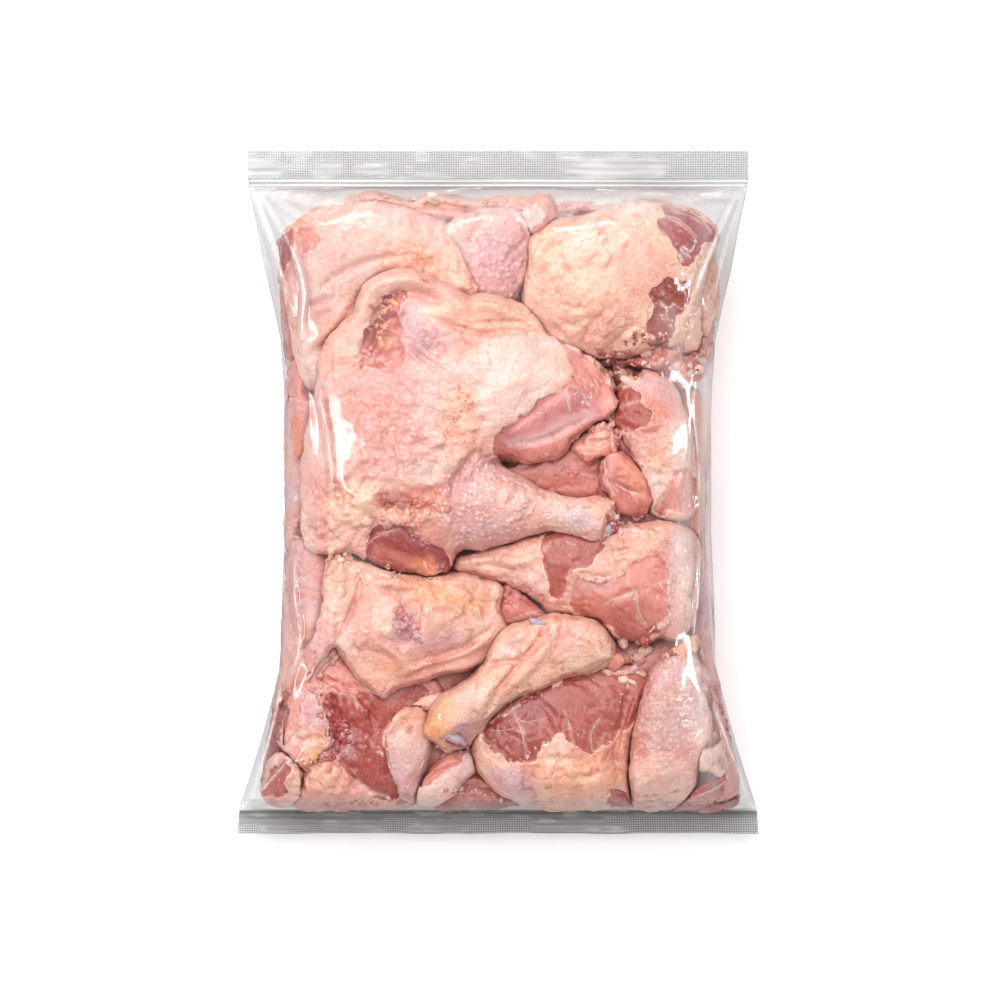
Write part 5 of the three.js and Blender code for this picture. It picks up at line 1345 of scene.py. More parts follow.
               ("garnet", [(-66, -27), (-63, -21), (-56.5, -18), (-48, -17), (-44, -20), (-37.5, -23),
                           (-29.5, -28), (-23, -33), (-22, -40), (-26.5, -44), (-35, -45), (-50, -42),
                           (-60, -38), (-66, -33)])],
     "veins": [("red", 0.85, 2.0, [(-64, 66), (-61, 76), (-57, 86), (-54, 94)]),
               ("red", 0.35, 4.5, [(-58, 70), (-52, 80), (-52, 92)]),
               ("amber", 0.7, 2.6, [(-56, 74), (-53, 78)]),
               ("white", 0.36, 1.05, [(-68, 70), (-64, 66), (-58, 66)]),
               ("orchid", 0.85, 7.0, [(6, 27), (18, 32), (32, 42), (44, 44)]),
               ("flesh", 0.7, 4.0, [(2, 18), (16, 18.5), (30, 21), (46, 32)]),
               ("lilac", 0.9, 2.4, [(5, 24), (18, 27), (32, 33), (46, 38)]),
               ("white", 0.51, 0.75, [(6, 22), (20, 25.5), (36, 31), (46, 36)]),
               ("white", 0.48, 0.60, [(34, 52), (34, 46), (35, 40)]),
               ("white", 0.48, 0.60, [(36, 53), (40, 51), (43, 47), (42, 42)]),
               ("rose", 0.7, 1.6, [(36, 66), (38, 60), (36, 54)]),
               ("blood", 0.9, 1.3, [(-62.5, 91), (-60.5, 89.5)]),
               ("blood", 0.7, 1.0, [(-38, 105), (-35.5, 103.5)]),
               ("dark", 0.5, 1.2, [(-68, 62.5), (-66.5, 61)]),
               ("grape", 0.6, 1.0, [(-42, 70), (-34, 64), (-26, 60)]),
               ("plum", 0.8, 3.2, [(-58, -22), (-48, -20), (-38, -26), (-30, -31)]),
               ("salmon", 0.7, 3.0, [(-60, -29), (-50, -32), (-42, -35)]),
               ("orange", 0.95, 3.6, [(-40, -36.5), (-34, -37.5)]),
               ("orange", 0.9, 3.0, [(-34, -34), (-33, -41)]),
               ("blood", 0.5, 2.0, [(-56, -4), (-50, -8), (-44, -5)]),
               ("rose", 0.6, 2.0, [(54, -20), (58, -24), (61, -18)])]},
]

for spec in UNDER:
    spec.update(grow=3.0, wave=3.0, full=0.45, hidden=True)
for spec in EDGES + TOP_END + MIDDLE + LOWER:
    spec["grow"] = 1.2
PIECES = UNDER + EDGES + TOP_END + MIDDLE + LOWER + UPPER

# Small lumps of fat and gristle: x, y, half length, half width, turn in degrees, colour
BITS = [
    (55, -18, 5.4, 4.0, 50, "blood"),
    (54.6, -18.4, 4.2, 2.7, 50, "steel"),
    (56.6, -16, 1.8, 1.3, 0, "grape"),
    (58.8, -11.5, 3.8, 1.5, 80, "white"),
    (54, -12.5, 1.6, 1.2, 0, "blood"),
    (-22.5, -121.8, 9.0, 3.6, -24, "deep"),
    (-22.8, -121.4, 7.6, 2.6, -24, "steel"),
    (-17.5, -124, 2.6, 1.5, -30, "grape"),
    (19.5, -64.5, 4.6, 1.9, -12, "steel"),
    (58.5, -84.5, 5.0, 3.8, 40, "salmon"),
    (70, -83, 5.4, 3.6, 65, "lilac"),
    (73, -79, 3.6, 2.6, 20, "white"),
    (72.5, -73.5, 2.8, 3.2, -10, "blood"),
    (67, -88, 3.0, 2.0, 40, "lilac"),
    (62, -74, 2.4, 3.8, 10, "white"),
    (85.5, -80, 2.4, 1.5, 60, "red"),
    (62, -93, 3.2, 2.2, 10, "white"),
    (66, -94, 3.4, 1.1, -30, "white"),
    (81, -66, 4.4, 2.0, 30, "pale"),
    (77.5, -67.5, 1.8, 1.4, 0, "red"),
    (-96, -133, 4.2, 3.2, -30, "orange"),
    (-92, -131, 3.0, 2.4, 20, "amber"),
    (20, -99, 1.6, 1.3, 0, "red"),
    (17, -102, 1.3, 1.1, 0, "orange"),
    (61, 60, 2.4, 6.0, 40, "pale"),
    (66, 54, 5.5, 2.4, -30, "pale"),
    (57, 21, 1.2, 4.6, 10, "pale"),
    (99, 60.5, 3.6, 2.4, 20, "white"),
    (88, 63, 3.0, 2.4, -20, "pale"),
    (74, 69, 3.6, 2.6, 10, "pale"),
    (75, 76, 2.8, 3.4, 30, "rose"),
    (56, 33, 4.4, 1.6, 40, "rose"),
]

# Scraps of fat, meat and skin strewn along routes: count, smallest and largest half length, how far they
# stray, their colours and the route
SCRAPS = [
    (34, 0.9, 2.6, 3.4, ("red", "garnet", "rose", "red", "cream"),
     [(50, 66), (60, 71), (72, 77), (84, 76)]),
    (34, 0.9, 2.4, 3.4, ("white", "rose", "amber", "red", "pale"),
     [(62, 61), (76, 64), (88, 58), (98, 62), (102, 72)]),
    (16, 0.8, 2.4, 3.0, ("cream", "lilac", "rose", "apricot", "peach"),
     [(66, -79), (73, -83), (80, -80), (89, -80)]),
    (10, 0.8, 1.8, 2.0, ("red", "blood"), [(73, -76), (78, -76), (82, -78)]),
    (46, 1.2, 3.4, 4.6, ("red", "blood", "plum", "rose", "red"),
     [(-84, -102), (-80, -112), (-77, -122), (-83, -132)]),
    (18, 0.5, 1.5, 7.0, ("rose", "pink", "salmon"),
     [(-104, -92), (-84, -97), (-66, -104), (-62, -122), (-68, -138)]),
    (18, 0.8, 2.0, 2.4, ("pale", "orange", "apricot"), [(-98, -132), (-90, -134), (-84, -138)]),
    (34, 1.0, 2.8, 4.2, ("salmon", "rose", "red", "amber"),
     [(-66, 64), (-61, 76), (-56, 88), (-49, 96)]),
    (36, 1.4, 3.6, 3.0, ("apricot", "peach", "rose", "pale"),
     [(-66, -15), (-54, -12), (-42, -13), (-32, -8), (-25, -12)]),
    (16, 0.8, 2.0, 2.0, ("red", "rose", "orange"), [(-58, -7), (-48, -7), (-38, -6), (-30, -5)]),
    (26, 0.7, 1.6, 3.6, ("amber", "orange", "apricot"), [(-22, 50), (-15, 44), (-21, 37), (-24, 30)]),
    (40, 0.8, 2.2, 2.0, ("rose", "pink", "white", "apricot"),
     [(-72, 146), (-40, 145), (-10, 143), (20, 143)]),
    (18, 1.0, 2.4, 2.2, ("rose", "salmon", "pink"), [(44, 30), (54, 33), (60, 28), (57, 20)]),
    (14, 0.8, 1.8, 1.6, ("rose", "salmon"), [(26, 6), (32, 11), (38, 9)]),
    (26, 0.6, 1.6, 1.6, ("white", "cream", "rose"), [(33, -40), (45, -42), (55, -43), (63, -38)]),
    (18, 0.6, 1.5, 1.6, ("pale", "white"), [(76, -68), (84, -60), (86, -44)]),
    (26, 0.5, 1.2, 1.3, ("cream", "white"),
     [(-4, -126), (10, -134), (20, -127), (31, -121), (46, -129), (60, -121)]),
    (20, 0.8, 1.9, 1.3, ("peach", "white", "red", "apricot"),
     [(53, -5), (59, -10), (58, -17), (53, -23)]),
    (12, 0.9, 2.2, 1.6, ("orange", "apricot", "amber"), [(101, 119), (107, 107), (106, 96)]),
    (34, 1.0, 2.6, 4.6, ("lilac", "rose", "grape", "pink"), [(-52, -60), (-45, -63), (-40, -70)]),
    (22, 1.4, 3.2, 2.8, ("cream", "pale", "apricot"), [(-84, -32), (-77, -32), (-70, -38), (-66, -44)]),
    (20, 0.8, 2.2, 1.6, ("rose", "salmon", "pink"), [(-50, -153), (-66, -155), (-84, -155)]),
    (22, 0.8, 2.0, 2.2, ("pale", "pink", "salmon"), [(-30, -150), (-14, -148), (2, -151)]),
    (16, 0.8, 2.2, 1.2, ("red", "rose", "blood"), [(4, -107), (13, -104), (21, -101)]),
    (16, 0.8, 2.2, 1.6, ("white", "pale", "amber"), [(57, 60), (64, 58), (70, 54)]),
    (18, 0.8, 2.0, 1.6, ("orange", "apricot", "white"), [(82, -88), (92, -81), (102, -77)]),
    (14, 0.7, 1.8, 1.6, ("peach", "apricot"), [(60, -16), (68, -14), (78, -12)]),
    (20, 0.6, 1.6, 1.4, ("rose", "pale", "cream"), [(-60, -34), (-46, -42), (-30, -44)]),
    (14, 0.6, 1.4, 1.4, ("grape", "steel", "rose"), [(-30, -124), (-22, -130), (-14, -127)]),
]

# White sinews on the flesh: half thickness and route
SINEWS = [
    (0.34, [(53, -56), (57, -53), (62.8, -51.5), (68.3, -49)]),
    (0.30, [(68.3, -49), (69, -56), (70.8, -61.8), (74, -66)]),
    (0.24, [(84, -44), (76, -45.5), (66, -47)]),
    (0.30, [(34, 52), (34.2, 46), (35, 40)]),
    (0.26, [(36, 53), (40, 51), (43, 47), (42, 42)]),
    (0.24, [(40, 51), (38, 46), (38.5, 42)]),
    (0.30, [(6, -104), (9, -112), (12, -120), (14, -130)]),
    (0.22, [(9, -112), (16, -114), (24, -111)]),
    (0.22, [(-5, -118), (3, -118), (10, -116)]),
    (0.24, [(32, -108), (36, -116), (38, -124)]),
    (0.22, [(50, -112), (46, -120), (47, -127)]),
    (0.30, [(58, 4), (64, 0.5), (71, -1)]),
    (0.30, [(52.8, 16), (53.5, 8), (57, -2)]),
    (0.26, [(5, -63.5), (12, -61), (20, -59)]),
    (0.26, [(80, 137), (87, 136), (93, 132), (99, 126)]),
    (0.26, [(89, 140), (99, 137), (106, 129)]),
    (0.26, [(-80, -100), (-72, -101), (-70, -108)]),
    (0.26, [(-76, -116), (-73, -122), (-75, -130)]),
    (0.24, [(-68, -90), (-64, -98), (-56, -101)]),
    (0.26, [(96, -152), (106, -148), (113, -144)]),
    (0.24, [(-66, -28), (-58, -21), (-48, -18)]),
    (0.26, [(64, -37), (60, -39), (54, -44)]),
]


# A turn in plan, so that the finest ridges run aslant
TURN = np.array([[0.8, 0.6, 0], [-0.6, 0.8, 0], [0, 0, 1.0]])


def fine_relief(spec, points, flesh):
    """How far each vertex stands out, in millimetres, and how much of a crease it lies in."""
    stretched = points * np.array([1.0, 1.35, 1.0])
    skin = layered(stretched, 6.0, 31, 3) * 0.36 + layered(stretched, 2.6, 37, 2) * 0.20
    turned = points @ TURN * np.array([1.0, 0.45, 1.0])
    ridges = np.maximum(1 - np.abs(layered(turned, 5.5, 91, 2)) * 2.6, 0)
    where = smoothstep(-0.1, 0.5, layered(points, 26.0, 97, 2))
    valley = np.exp(-(layered(turned, 9.0, 93, 3) / 0.05) ** 2) * smoothstep(-0.2, 0.3, where)
    rolled = np.exp(-((flesh - 0.36) / 0.10) ** 2) * 0.5
    skin += ridges * where * 0.55 - valley * 0.9 + rolled
    drawn = points @ TURN * np.array([0.5, 1.0, 1.0])
    groove = np.exp(-(layered(drawn, 8.0, 45, 3) / 0.045) ** 2)
    meat = layered(drawn, 8.0, 41, 3) * 0.65 + layered(drawn, 3.0, 43, 2) * 0.30
    meat -= groove * 0.8 + (0 if spec.get("all_flesh") else TORN_STEP)
    firm = smoothstep(0.43, 0.53, flesh)
    relief = skin * (1 - firm) + meat * firm
    for height, size, soft, outline in spec.get("lumpy", []):
        area = inside_distance(points[:, 0], points[:, 1], curve(outline, closed=True))
        rough = layered(points, size, 77, 3)
        relief += smoothstep(-soft, soft, area) * rough * height
    return relief, np.maximum(valley * (1 - firm), groove * firm * 0.7)


def make_piece(spec, heap, material):
    """One piece of chicken, meshed, laid on the heap, given its relief and its colours."""
    points, quads = build_form(spec, heap)
    tint, flesh, flesh_tint, pores = paint(spec, points)
    relief, crease = fine_relief(spec, points, flesh)
    points = points + relief[:, None] * faces_normals(points, quads)
    points[:, 2] = np.maximum(points[:, 2], FILM_FLOOR + 0.2)
    raise_heap(heap, points, quads)
    piece = add_mesh(spec["name"], points, quads, material)
    set_colour(piece.data, "tint", tint)
    set_colour(piece.data, "flesh_tint", flesh_tint)
    set_value(piece.data, "flesh", flesh)
    set_value(piece.data, "pores", pores)
    return piece, points, crease


def shade_depths(made, heap):
    """Paints shade, a darker red, on what lies below the pieces around it or in a crease."""
    wide = blurred(heap.height, 5)
    near = blurred(heap.height, 2)
    for piece, points, crease in made:
        low, close = (sample(grid, heap.x0, heap.y0, PLAN_STEP, points[:, 0], points[:, 1])
                      for grid in (wide, near))
        depth = np.maximum(smoothstep(2.0, 15.0, low - points[:, 2]),
                           smoothstep(0.8, 6.0, close - points[:, 2]) * 0.8)
        depth *= 0.3 + 0.7 * smoothstep(26.0, 42.0, points[:, 2])
        # painted shade: the depth and crease shares darken the chicken's colour in its material
        set_value(piece.data, "depth", np.maximum(depth, crease * 0.45))


def tube_mesh(route, radius, sides=6):
    """A closed tube along a route, thinner at its ends."""
    count = len(route)
    ahead = np.gradient(route, axis=0)
    ahead /= np.linalg.norm(ahead, axis=1, keepdims=True)
    across = np.cross(ahead, [0, 0, 1.0])
    across /= np.linalg.norm(across, axis=1, keepdims=True)
    over = np.cross(across, ahead)
    taper = np.sin(np.pi * np.linspace(0.08, 0.92, count)) ** 0.5
    angles = np.arange(sides) * 2 * math.pi / sides
    ring = (np.cos(angles)[None, :, None] * across[:, None, :]
            + np.sin(angles)[None, :, None] * over[:, None, :])
    points = route[:, None, :] + ring * (radius * taper)[:, None, None]
    points = np.vstack([points.reshape(-1, 3), route[:1], route[-1:]])
    faces = []
    for i in range(count - 1):
        for k in range(sides):
            m = (k + 1) % sides
            faces.append((i * sides + k, i * sides + m, (i + 1) * sides + m, (i + 1) * sides + k))
    first, last = count * sides, count * sides + 1
    for k in range(sides):
        m = (k + 1) % sides
        faces.append((first, m, k))
        faces.append((last, (count - 1) * sides + k, (count - 1) * sides + m))
    return points, faces


def make_sinews(heap, material):
    """All the white sinews as one piece of joined thin strands."""
    points, faces = [], []
    for radius, route in SINEWS:
        line = curve(route, closed=False, steps=8)
        step = np.stack([line[:, 0], line[:, 1], np.zeros(len(line))], axis=1)
        shake = layered(step, 3.0, 51, 2)
        line = line + np.stack([shake, -shake], axis=1) * 0.45
        height = heap.at(line[:, 0], line[:, 1]) - 0.25
        strand, quads = tube_mesh(np.column_stack([line, height]), radius)
        base = sum(len(p) for p in points)
        points.append(strand)
        faces.extend(tuple(base + i for i in face) for face in quads)
    piece = add_mesh("sinew_strands", np.vstack(points), faces, material)
    count = len(piece.data.vertices)
    set_colour(piece.data, "tint", np.tile(linear("white"), (count, 1)))
    return piece


def lump(length, width, height, seed, around=14, rings=8):
    """A knobbly egg of the given half sizes."""
    points = [(0, 0, -1)]
    for i in range(1, rings):
        polar = math.pi * i / rings
        for k in range(around):
            turn = 2 * math.pi * k / around
            points.append((math.sin(polar) * math.cos(turn), math.sin(polar) * math.sin(turn),
                           -math.cos(polar)))
    points.append((0, 0, 1))
    points = np.array(points)
    points = points * (1 + 0.24 * layered(points, 0.9, seed, 2))[:, None]
    faces = []
    for k in range(around):
        m = (k + 1) % around
        faces.append((0, 1 + m, 1 + k))
        for i in range(rings - 2):
            a = 1 + i * around
            faces.append((a + k, a + m, a + around + m, a + around + k))
        tail = 1 + (rings - 2) * around
        faces.append((len(points) - 1, tail + k, tail + m))
    return points * np.array([length, width, height]), faces


def spun(angle):
    """The turn of a lump in plan, by an angle in radians."""
    return np.array([[math.cos(angle), math.sin(angle), 0], [-math.sin(angle), math.cos(angle), 0],
                     [0, 0, 1]])


def make_bits(heap, material):
    """The lumps of fat and gristle as one piece, each sunk in what it lies on."""
    points, faces, tints = [], [], []
    base = 0
    for number, (x, y, length, width, turn, colour) in enumerate(BITS):
        body, sides = lump(length, width, min(length, width) * 0.8, 60 + number)
        place = np.array([x, y, float(heap.at(x, y)) - 0.25 * min(length, width)])
        body = body @ spun(math.radians(turn)) + place
        points.append(body)
        faces.extend(tuple(base + i for i in face) for face in sides)
        tints.append(np.tile(linear(colour), (len(body), 1)))
        base += len(body)
        i = np.clip(np.rint(body[:, 0] - heap.x0).astype(int), 0, heap.height.shape[0] - 1)
        j = np.clip(np.rint(body[:, 1] - heap.y0).astype(int), 0, heap.height.shape[1] - 1)
        np.maximum.at(heap.height, (i, j), body[:, 2] + 0.3)
    piece = add_mesh("fat_and_gristle", np.vstack(points), faces, material)
    set_colour(piece.data, "tint", np.vstack(tints))
    return piece


def make_scraps(heap, material):
    """Hundreds of small scraps along their routes, joined in one piece and half sunk in the meat."""
    chance = np.random.default_rng(SEED)
    points, faces, tints = [], [], []
    base = 0
    for count, small, large, stray, colours, route in SCRAPS:
        line = curve(route, closed=False, steps=8)
        for _ in range(count):
            spot = line[chance.integers(len(line))] + chance.normal(0, stray / 2, 2)
            length = small + (large - small) * chance.random() ** 1.8
            width = length * chance.uniform(0.35, 0.9)
            body, sides = lump(length, width, width * 0.8, 200 + base % 977, around=8, rings=5)
            angle = chance.uniform(0, math.pi)
            level = float(heap.at(spot[0], spot[1])) - width * 0.35
            points.append(body @ spun(angle) + np.array([spot[0], spot[1], level]))
            faces.extend(tuple(base + i for i in face) for face in sides)
            tints.append(np.tile(linear(colours[chance.integers(len(colours))]), (len(body), 1)))
            base += len(body)
    piece = add_mesh("scraps", np.vstack(points), faces, material)
    set_colour(piece.data, "tint", np.vstack(tints))
    return piece


# Creases of the film: height, half width and route, each from where the film is pulled
FILM_CREASES = [
    (2.6, 1.5, [(-121, 151), (-110, 134), (-101, 118), (-96, 100), (-97, 84), (-96, 70)]),
    (2.2, 1.4, [(-122, 148), (-113, 126), (-107, 106), (-104, 92)]),
    (-1.8, 1.6, [(-123, 144), (-114, 116), (-110, 96)]),
    (2.0, 1.4, [(-96, 70), (-92, 60), (-88, 46), (-84, 26), (-82, 2), (-83, -20)]),
    (2.0, 1.8, [(-119, 153), (-100, 146), (-80, 143), (-62, 141)]),
    (1.8, 1.6, [(-117, 152), (-100, 138), (-86, 131)]),
    (1.8, 1.5, [(-100, -24), (-101, -50), (-98, -74), (-104, -96)]),
    (2.0, 1.6, [(-124, -152), (-116, -130), (-110, -108), (-107, -90)]),
    (1.6, 1.4, [(-122, -153), (-110, -140), (-100, -128)]),
    (2.6, 1.5, [(121, 151), (112, 134), (105, 118), (99, 102), (95, 90), (86, 80)]),
    (2.0, 1.4, [(122, 148), (113, 122), (108, 100)]),
    (-1.8, 1.6, [(120, 145), (110, 118), (104, 96)]),
    (2.0, 1.8, [(119, 153), (102, 147), (84, 144), (66, 143)]),
    (1.8, 1.6, [(98, 56), (97, 40), (99, 20), (100, 0), (101, -20)]),
    (2.0, 1.4, [(99, -6), (100, -30), (99, -54), (97, -72), (100, -90)]),
    (2.0, 1.6, [(126, -152), (116, -130), (108, -108), (101, -90)]),
    (1.5, 1.4, [(123, -153), (108, -142), (98, -130)]),
]


def film_crease_light(x, y):
    """How much painted highlight the film gets along its crease ridges (positive), and painted shade in
    the hollows beside them (negative).
    """
    total = np.zeros(np.shape(x))
    for height, width, route in FILM_CREASES:
        line = curve(route, closed=False)
        gap, where = nearest(x, y, line)
        share = where / (len(line) - 1)
        fade = np.sin(np.pi * np.clip(share, 0.03, 0.97)) ** 0.6
        bright = np.exp(-(gap / (0.62 * width)) ** 2)
        dark = np.exp(-((gap - 1.7 * width) / (0.8 * width)) ** 2) * 0.7
        total += fade * np.sign(height) * np.abs(height) / 2.2 * (bright - dark)
    gap_top = TOP_LINE - y
    along = noise(np.column_stack([x.ravel(), 0 * x.ravel(), 0 * x.ravel()]), 14.0, 101).reshape(x.shape)
    bow = 7.6 + 2.2 * np.sin(x / 12.0 + 1.4 * np.sin(x / 31.0))
    # painted highlight: a bright line below the top seal, with painted shade just under it
    total += 1.1 * np.exp(-((gap_top - bow) / 0.8) ** 2) * smoothstep(-0.3, 0.4, along)
    total -= 0.8 * np.exp(-((gap_top - bow - 2.4) / 1.2) ** 2) * smoothstep(-0.4, 0.4, along)
    return total


# Bands of painted glare on the film, laid as milky white round its sides, under the top seal and at its
# top corners: strength, half width and route
GLARE_HAZE = [
    (0.26, 7.0, [(84, 84), (90, 52), (94, 24), (92, -6), (90, -36), (90, -64), (98, -88), (103, -112),
                 (106, -142)]),
    (0.20, 6.0, [(-99, 126), (-97, 96), (-93, 66), (-91, 30), (-92, -6), (-95, -34), (-93, -62),
                 (-88, -84)]),
    (0.34, 8.0, [(-92, 138), (-66, 139), (-40, 132), (-18, 136), (4, 141), (30, 141), (60, 143),
                 (84, 139)]),
    (0.24, 9.0, [(-58, 134), (-38, 128), (-20, 122)]),
    (0.18, 6.0, [(100, 136), (104, 112), (100, 92)]),
    (0.46, 3.5, [(104, 62), (103.5, 30), (103, 0), (103.5, -30), (105, -62), (108, -84)]),
    (0.46, 4.5, [(-116, 152), (-104, 148.5), (-92, 145), (-78, 143)]),
    (0.34, 4.5, [(116, 152), (104, 148), (90, 144)]),
]


def film_glare_haze(x, y):
    """How much painted glare, as milky white, the film has at each place."""
    total = np.zeros(np.shape(x))
    for strength, width, route in GLARE_HAZE:
        gap, _ = nearest(x, y, curve(route, closed=False))
        total = np.maximum(total, strength * np.exp(-(gap / width) ** 2))
    return total


def film_height(x, y, half, spread):
    """The height of the wrinkles that the pull of the seals and folds leaves in the film."""
    total = sum_folds(x, y, FILM_CREASES)
    gap_top = TOP_LINE - y
    ripples = np.sin(x / 9.5 + 1.4 * np.sin(x / 31.0)) * np.exp(-((gap_top - 9) / 4.0) ** 2)
    shoulders = np.sin(x / 5.7 + 2.0) * np.exp(-((gap_top - 7.0) / 2.5) ** 2)
    gap_low = y - BOTTOM_LINE
    low = np.sin(x / 7.5 + 1.1 * np.sin(x / 23.0)) * np.exp(-((gap_low - 4) / 4.0) ** 2)
    side = half - np.abs(x)
    sides = np.sin(side * 0.95 + 1.3 * np.sin(y / 21.0 + np.sign(x))) * np.exp(-side / 11.0)
    fans = 0
    for end in (TOP_LINE, BOTTOM_LINE):
        across, along = side, np.abs(end - y)
        reach = np.hypot(across, along)
        angle = np.arctan2(along, across)
        fans = fans + np.sin(angle * 15 + np.sign(x) * 1.5 + end) * np.exp(-((reach - 24) / 17.0) ** 2)
    return (total + 0.9 * ripples + 0.35 * shoulders + 0.5 * low + 0.5 * sides + 1.1 * fans) * spread


def seal_wave(x, at_top):
    """How a seal lies up and down along its length."""
    if at_top:
        return 0.8 * np.sin(x / 21.0 + 0.6) + 0.35 * np.sin(x / 8.3)
    return 1.0 * np.sin(x / 24.0 + 2.1) + 0.4 * np.sin(x / 9.1 + 1.0)


def rib_shape(gap):
    """The two ribs rolled along the top seal, from 0 to 1, at a distance from it."""
    return sum(np.exp(-((gap - place) / width) ** 2) for place, width in RIBS)


def film_rows(step):
    """Places of the film's rows along the bag, closer together near the seals."""
    fine = 0.5
    band = 7.0
    low = np.arange(BOTTOM_LINE, BOTTOM_LINE + band, fine)
    high = np.arange(TOP_LINE, TOP_LINE - band, -fine)[::-1]
    between = np.linspace(low[-1] + fine, high[0] - fine, int((high[0] - low[-1]) / step))
    return np.concatenate([low, between, high])


def cell_corners(wide):
    """The four corners of each cell of a grid of point numbers."""
    return wide[:-1, :-1], wide[1:, :-1], wide[1:, 1:], wide[:-1, 1:]


def grid_rim(wide):
    """The point numbers round a grid's edge, and those that follow each."""
    rim = np.concatenate([wide[:, 0], wide[-1, 1:], wide[-2::-1, -1], wide[0, -2:0:-1]])
    return rim, np.roll(rim, -1)


def sheet_faces(shape):
    """Faces that close two grids of points, the second lying under the first."""
    wide = np.arange(shape[0] * shape[1]).reshape(shape)
    front = np.stack(cell_corners(wide), axis=-1).reshape(-1, 4)
    rim, after = grid_rim(wide)
    sides = np.stack([after, rim, rim + wide.size, after + wide.size], axis=-1)
    return np.vstack([front, front[:, ::-1] + wide.size, sides]), rim


def make_film(heap, material):
    """The film: drawn tight over the heap in front, flat behind, and joined at the side folds."""
    columns = int(2 * TOP_HALF / (1.25))
    ys = film_rows(2.4)
    share = np.sin(np.linspace(-1, 1, columns + 1) * math.pi / 2 * 0.82) / math.sin(math.pi / 2 * 0.82)
    s, y = np.meshgrid(share, ys, indexing="ij")
    half, fold, back = station(y)
    x = s * half
    low_wave = seal_wave(x, False) * np.exp(-((y - BOTTOM_LINE) / 9.0) ** 2)
    top_wave = seal_wave(x, True) * np.exp(-((TOP_LINE - y) / 9.0) ** 2)
    fold = fold + low_wave + top_wave
    back = back + low_wave + top_wave
    near_end = np.minimum(TOP_LINE - y, y - BOTTOM_LINE)
    near = blurred(dilated(heap.height, 3), 3)
    drawn = blurred(dilated(near, 14, (1,)), 9, (1,))
    taut = smoothstep(0.64, 0.80, np.abs(s)) * smoothstep(8, 34, near_end)
    over = (sample(near, heap.x0, heap.y0, PLAN_STEP, x, y) * (1 - taut)
            + sample(drawn, heap.x0, heap.y0, PLAN_STEP, x, y) * taut)
    heap_top = np.where(near_end > 1.0, over + FILM_GAP, 0)
    front = np.maximum(fold + 4 * (1 - s ** 8), heap_top)
    gap_top = TOP_LINE - y
    ribs = 0.55 * rib_shape(gap_top)
    edge_z = fold + np.where(gap_top < RIB_BAND, ribs, 0)
    fixed = gap_top < RIB_BAND
    fixed[[0, -1]] = True
    fixed[:, [0, -1]] = True
    front = np.where(fixed, edge_z, front)
    heap_top = np.where(fixed, 0, heap_top)
    rows_index, columns_index = np.indices(front.shape)
    parity = (rows_index + columns_index) % 2
    for _ in range(FILM_SWEEPS):
        for colour in (0, 1):
            around = np.zeros_like(front)
            around[1:-1, 1:-1] = (front[2:, 1:-1] + front[:-2, 1:-1]
                                  + front[1:-1, 2:] + front[1:-1, :-2]) / 4
            pick = ~fixed & (parity == colour)
            moved = front[pick] + 1.85 * (around[pick] - front[pick])
            front[pick] = np.maximum(moved, heap_top[pick])
    free = smoothstep(RIB_BAND, RIB_BAND + 4, gap_top) * smoothstep(0, 4, near_end)
    free = free * smoothstep(1.0, 0.97, np.abs(s))
    touching = heap.at(x, y) + 0.15
    front = np.maximum(front + film_height(x, y, half, free), np.where(fixed, 0, touching))
    back_z = back + (fold - back) * np.abs(s) ** 9
    back_z = np.minimum(back_z, front)
    count = s.size
    top_points = np.column_stack([x.ravel(), y.ravel(), front.ravel()])
    back_points = np.column_stack([x.ravel(), y.ravel(), back_z.ravel()])
    points = np.vstack([top_points, back_points])
    faces, rim = sheet_faces(s.shape)
    merge = np.arange(len(points))
    shut = np.linalg.norm(points[rim] - points[rim + count], axis=1) < 0.05
    merge[(rim + count)[shut]] = rim[shut]
    faces = merge[faces]
    kept = [tuple(dict.fromkeys(face)) for face in faces.tolist()]
    kept = [face for face in kept if len(face) > 2]
    used = np.zeros(len(points), bool)
    used[[i for face in kept for i in face]] = True
    index = np.cumsum(used) - 1
    kept = [tuple(index[i] for i in face) for face in kept]
    # painted highlight and painted shade along the film's creases, kept for the film's material
    crease_light = film_crease_light(x, y) * smoothstep(RIB_BAND - 1, RIB_BAND + 1.5, gap_top)
    crease_light = np.concatenate([crease_light.ravel(), np.zeros(count)])
    piece = add_mesh("film_bag", points[used], kept, material)
    # painted glare bands, laid as milky white
    glare_haze = np.concatenate([(film_glare_haze(x, y) * smoothstep(0, 6, near_end)).ravel(), np.zeros(count)])
    set_value(piece.data, "crease_light", crease_light[used])
    set_value(piece.data, "glare_haze", glare_haze[used])
    return piece


def make_ribs(material):
    """The flat band under the top seal, with two ribs rolled along it."""
    deep = 4.5
    gap, across = np.meshgrid(np.linspace(0.0, deep, 19), np.linspace(-1, 1, 161))
    x = across * (station(TOP_LINE - gap)[0] - 0.2)
    level = TOP_SEAL_Z + seal_wave(x, True) * np.exp(-(gap / 9.0) ** 2)
    ribs = rib_shape(gap)
    over = level + 0.35 + 0.75 * ribs
    under = level + 0.15 + 0.55 * ribs
    y = TOP_LINE - gap
    points = np.vstack([np.column_stack([x.ravel(), y.ravel(), z.ravel()]) for z in (over, under)])
    faces, _ = sheet_faces(x.shape)
    piece = add_mesh("top_seal_ribs", points, faces[:, ::-1], material)
    white = 0.30 + 0.62 * ribs + 0.10 * np.sin(x / 17.0)
    set_value(piece.data, "whitening_and_glint", np.concatenate([white.ravel(), white.ravel()]))
    set_value(piece.data, "dense", np.zeros(2 * white.size))
    return piece


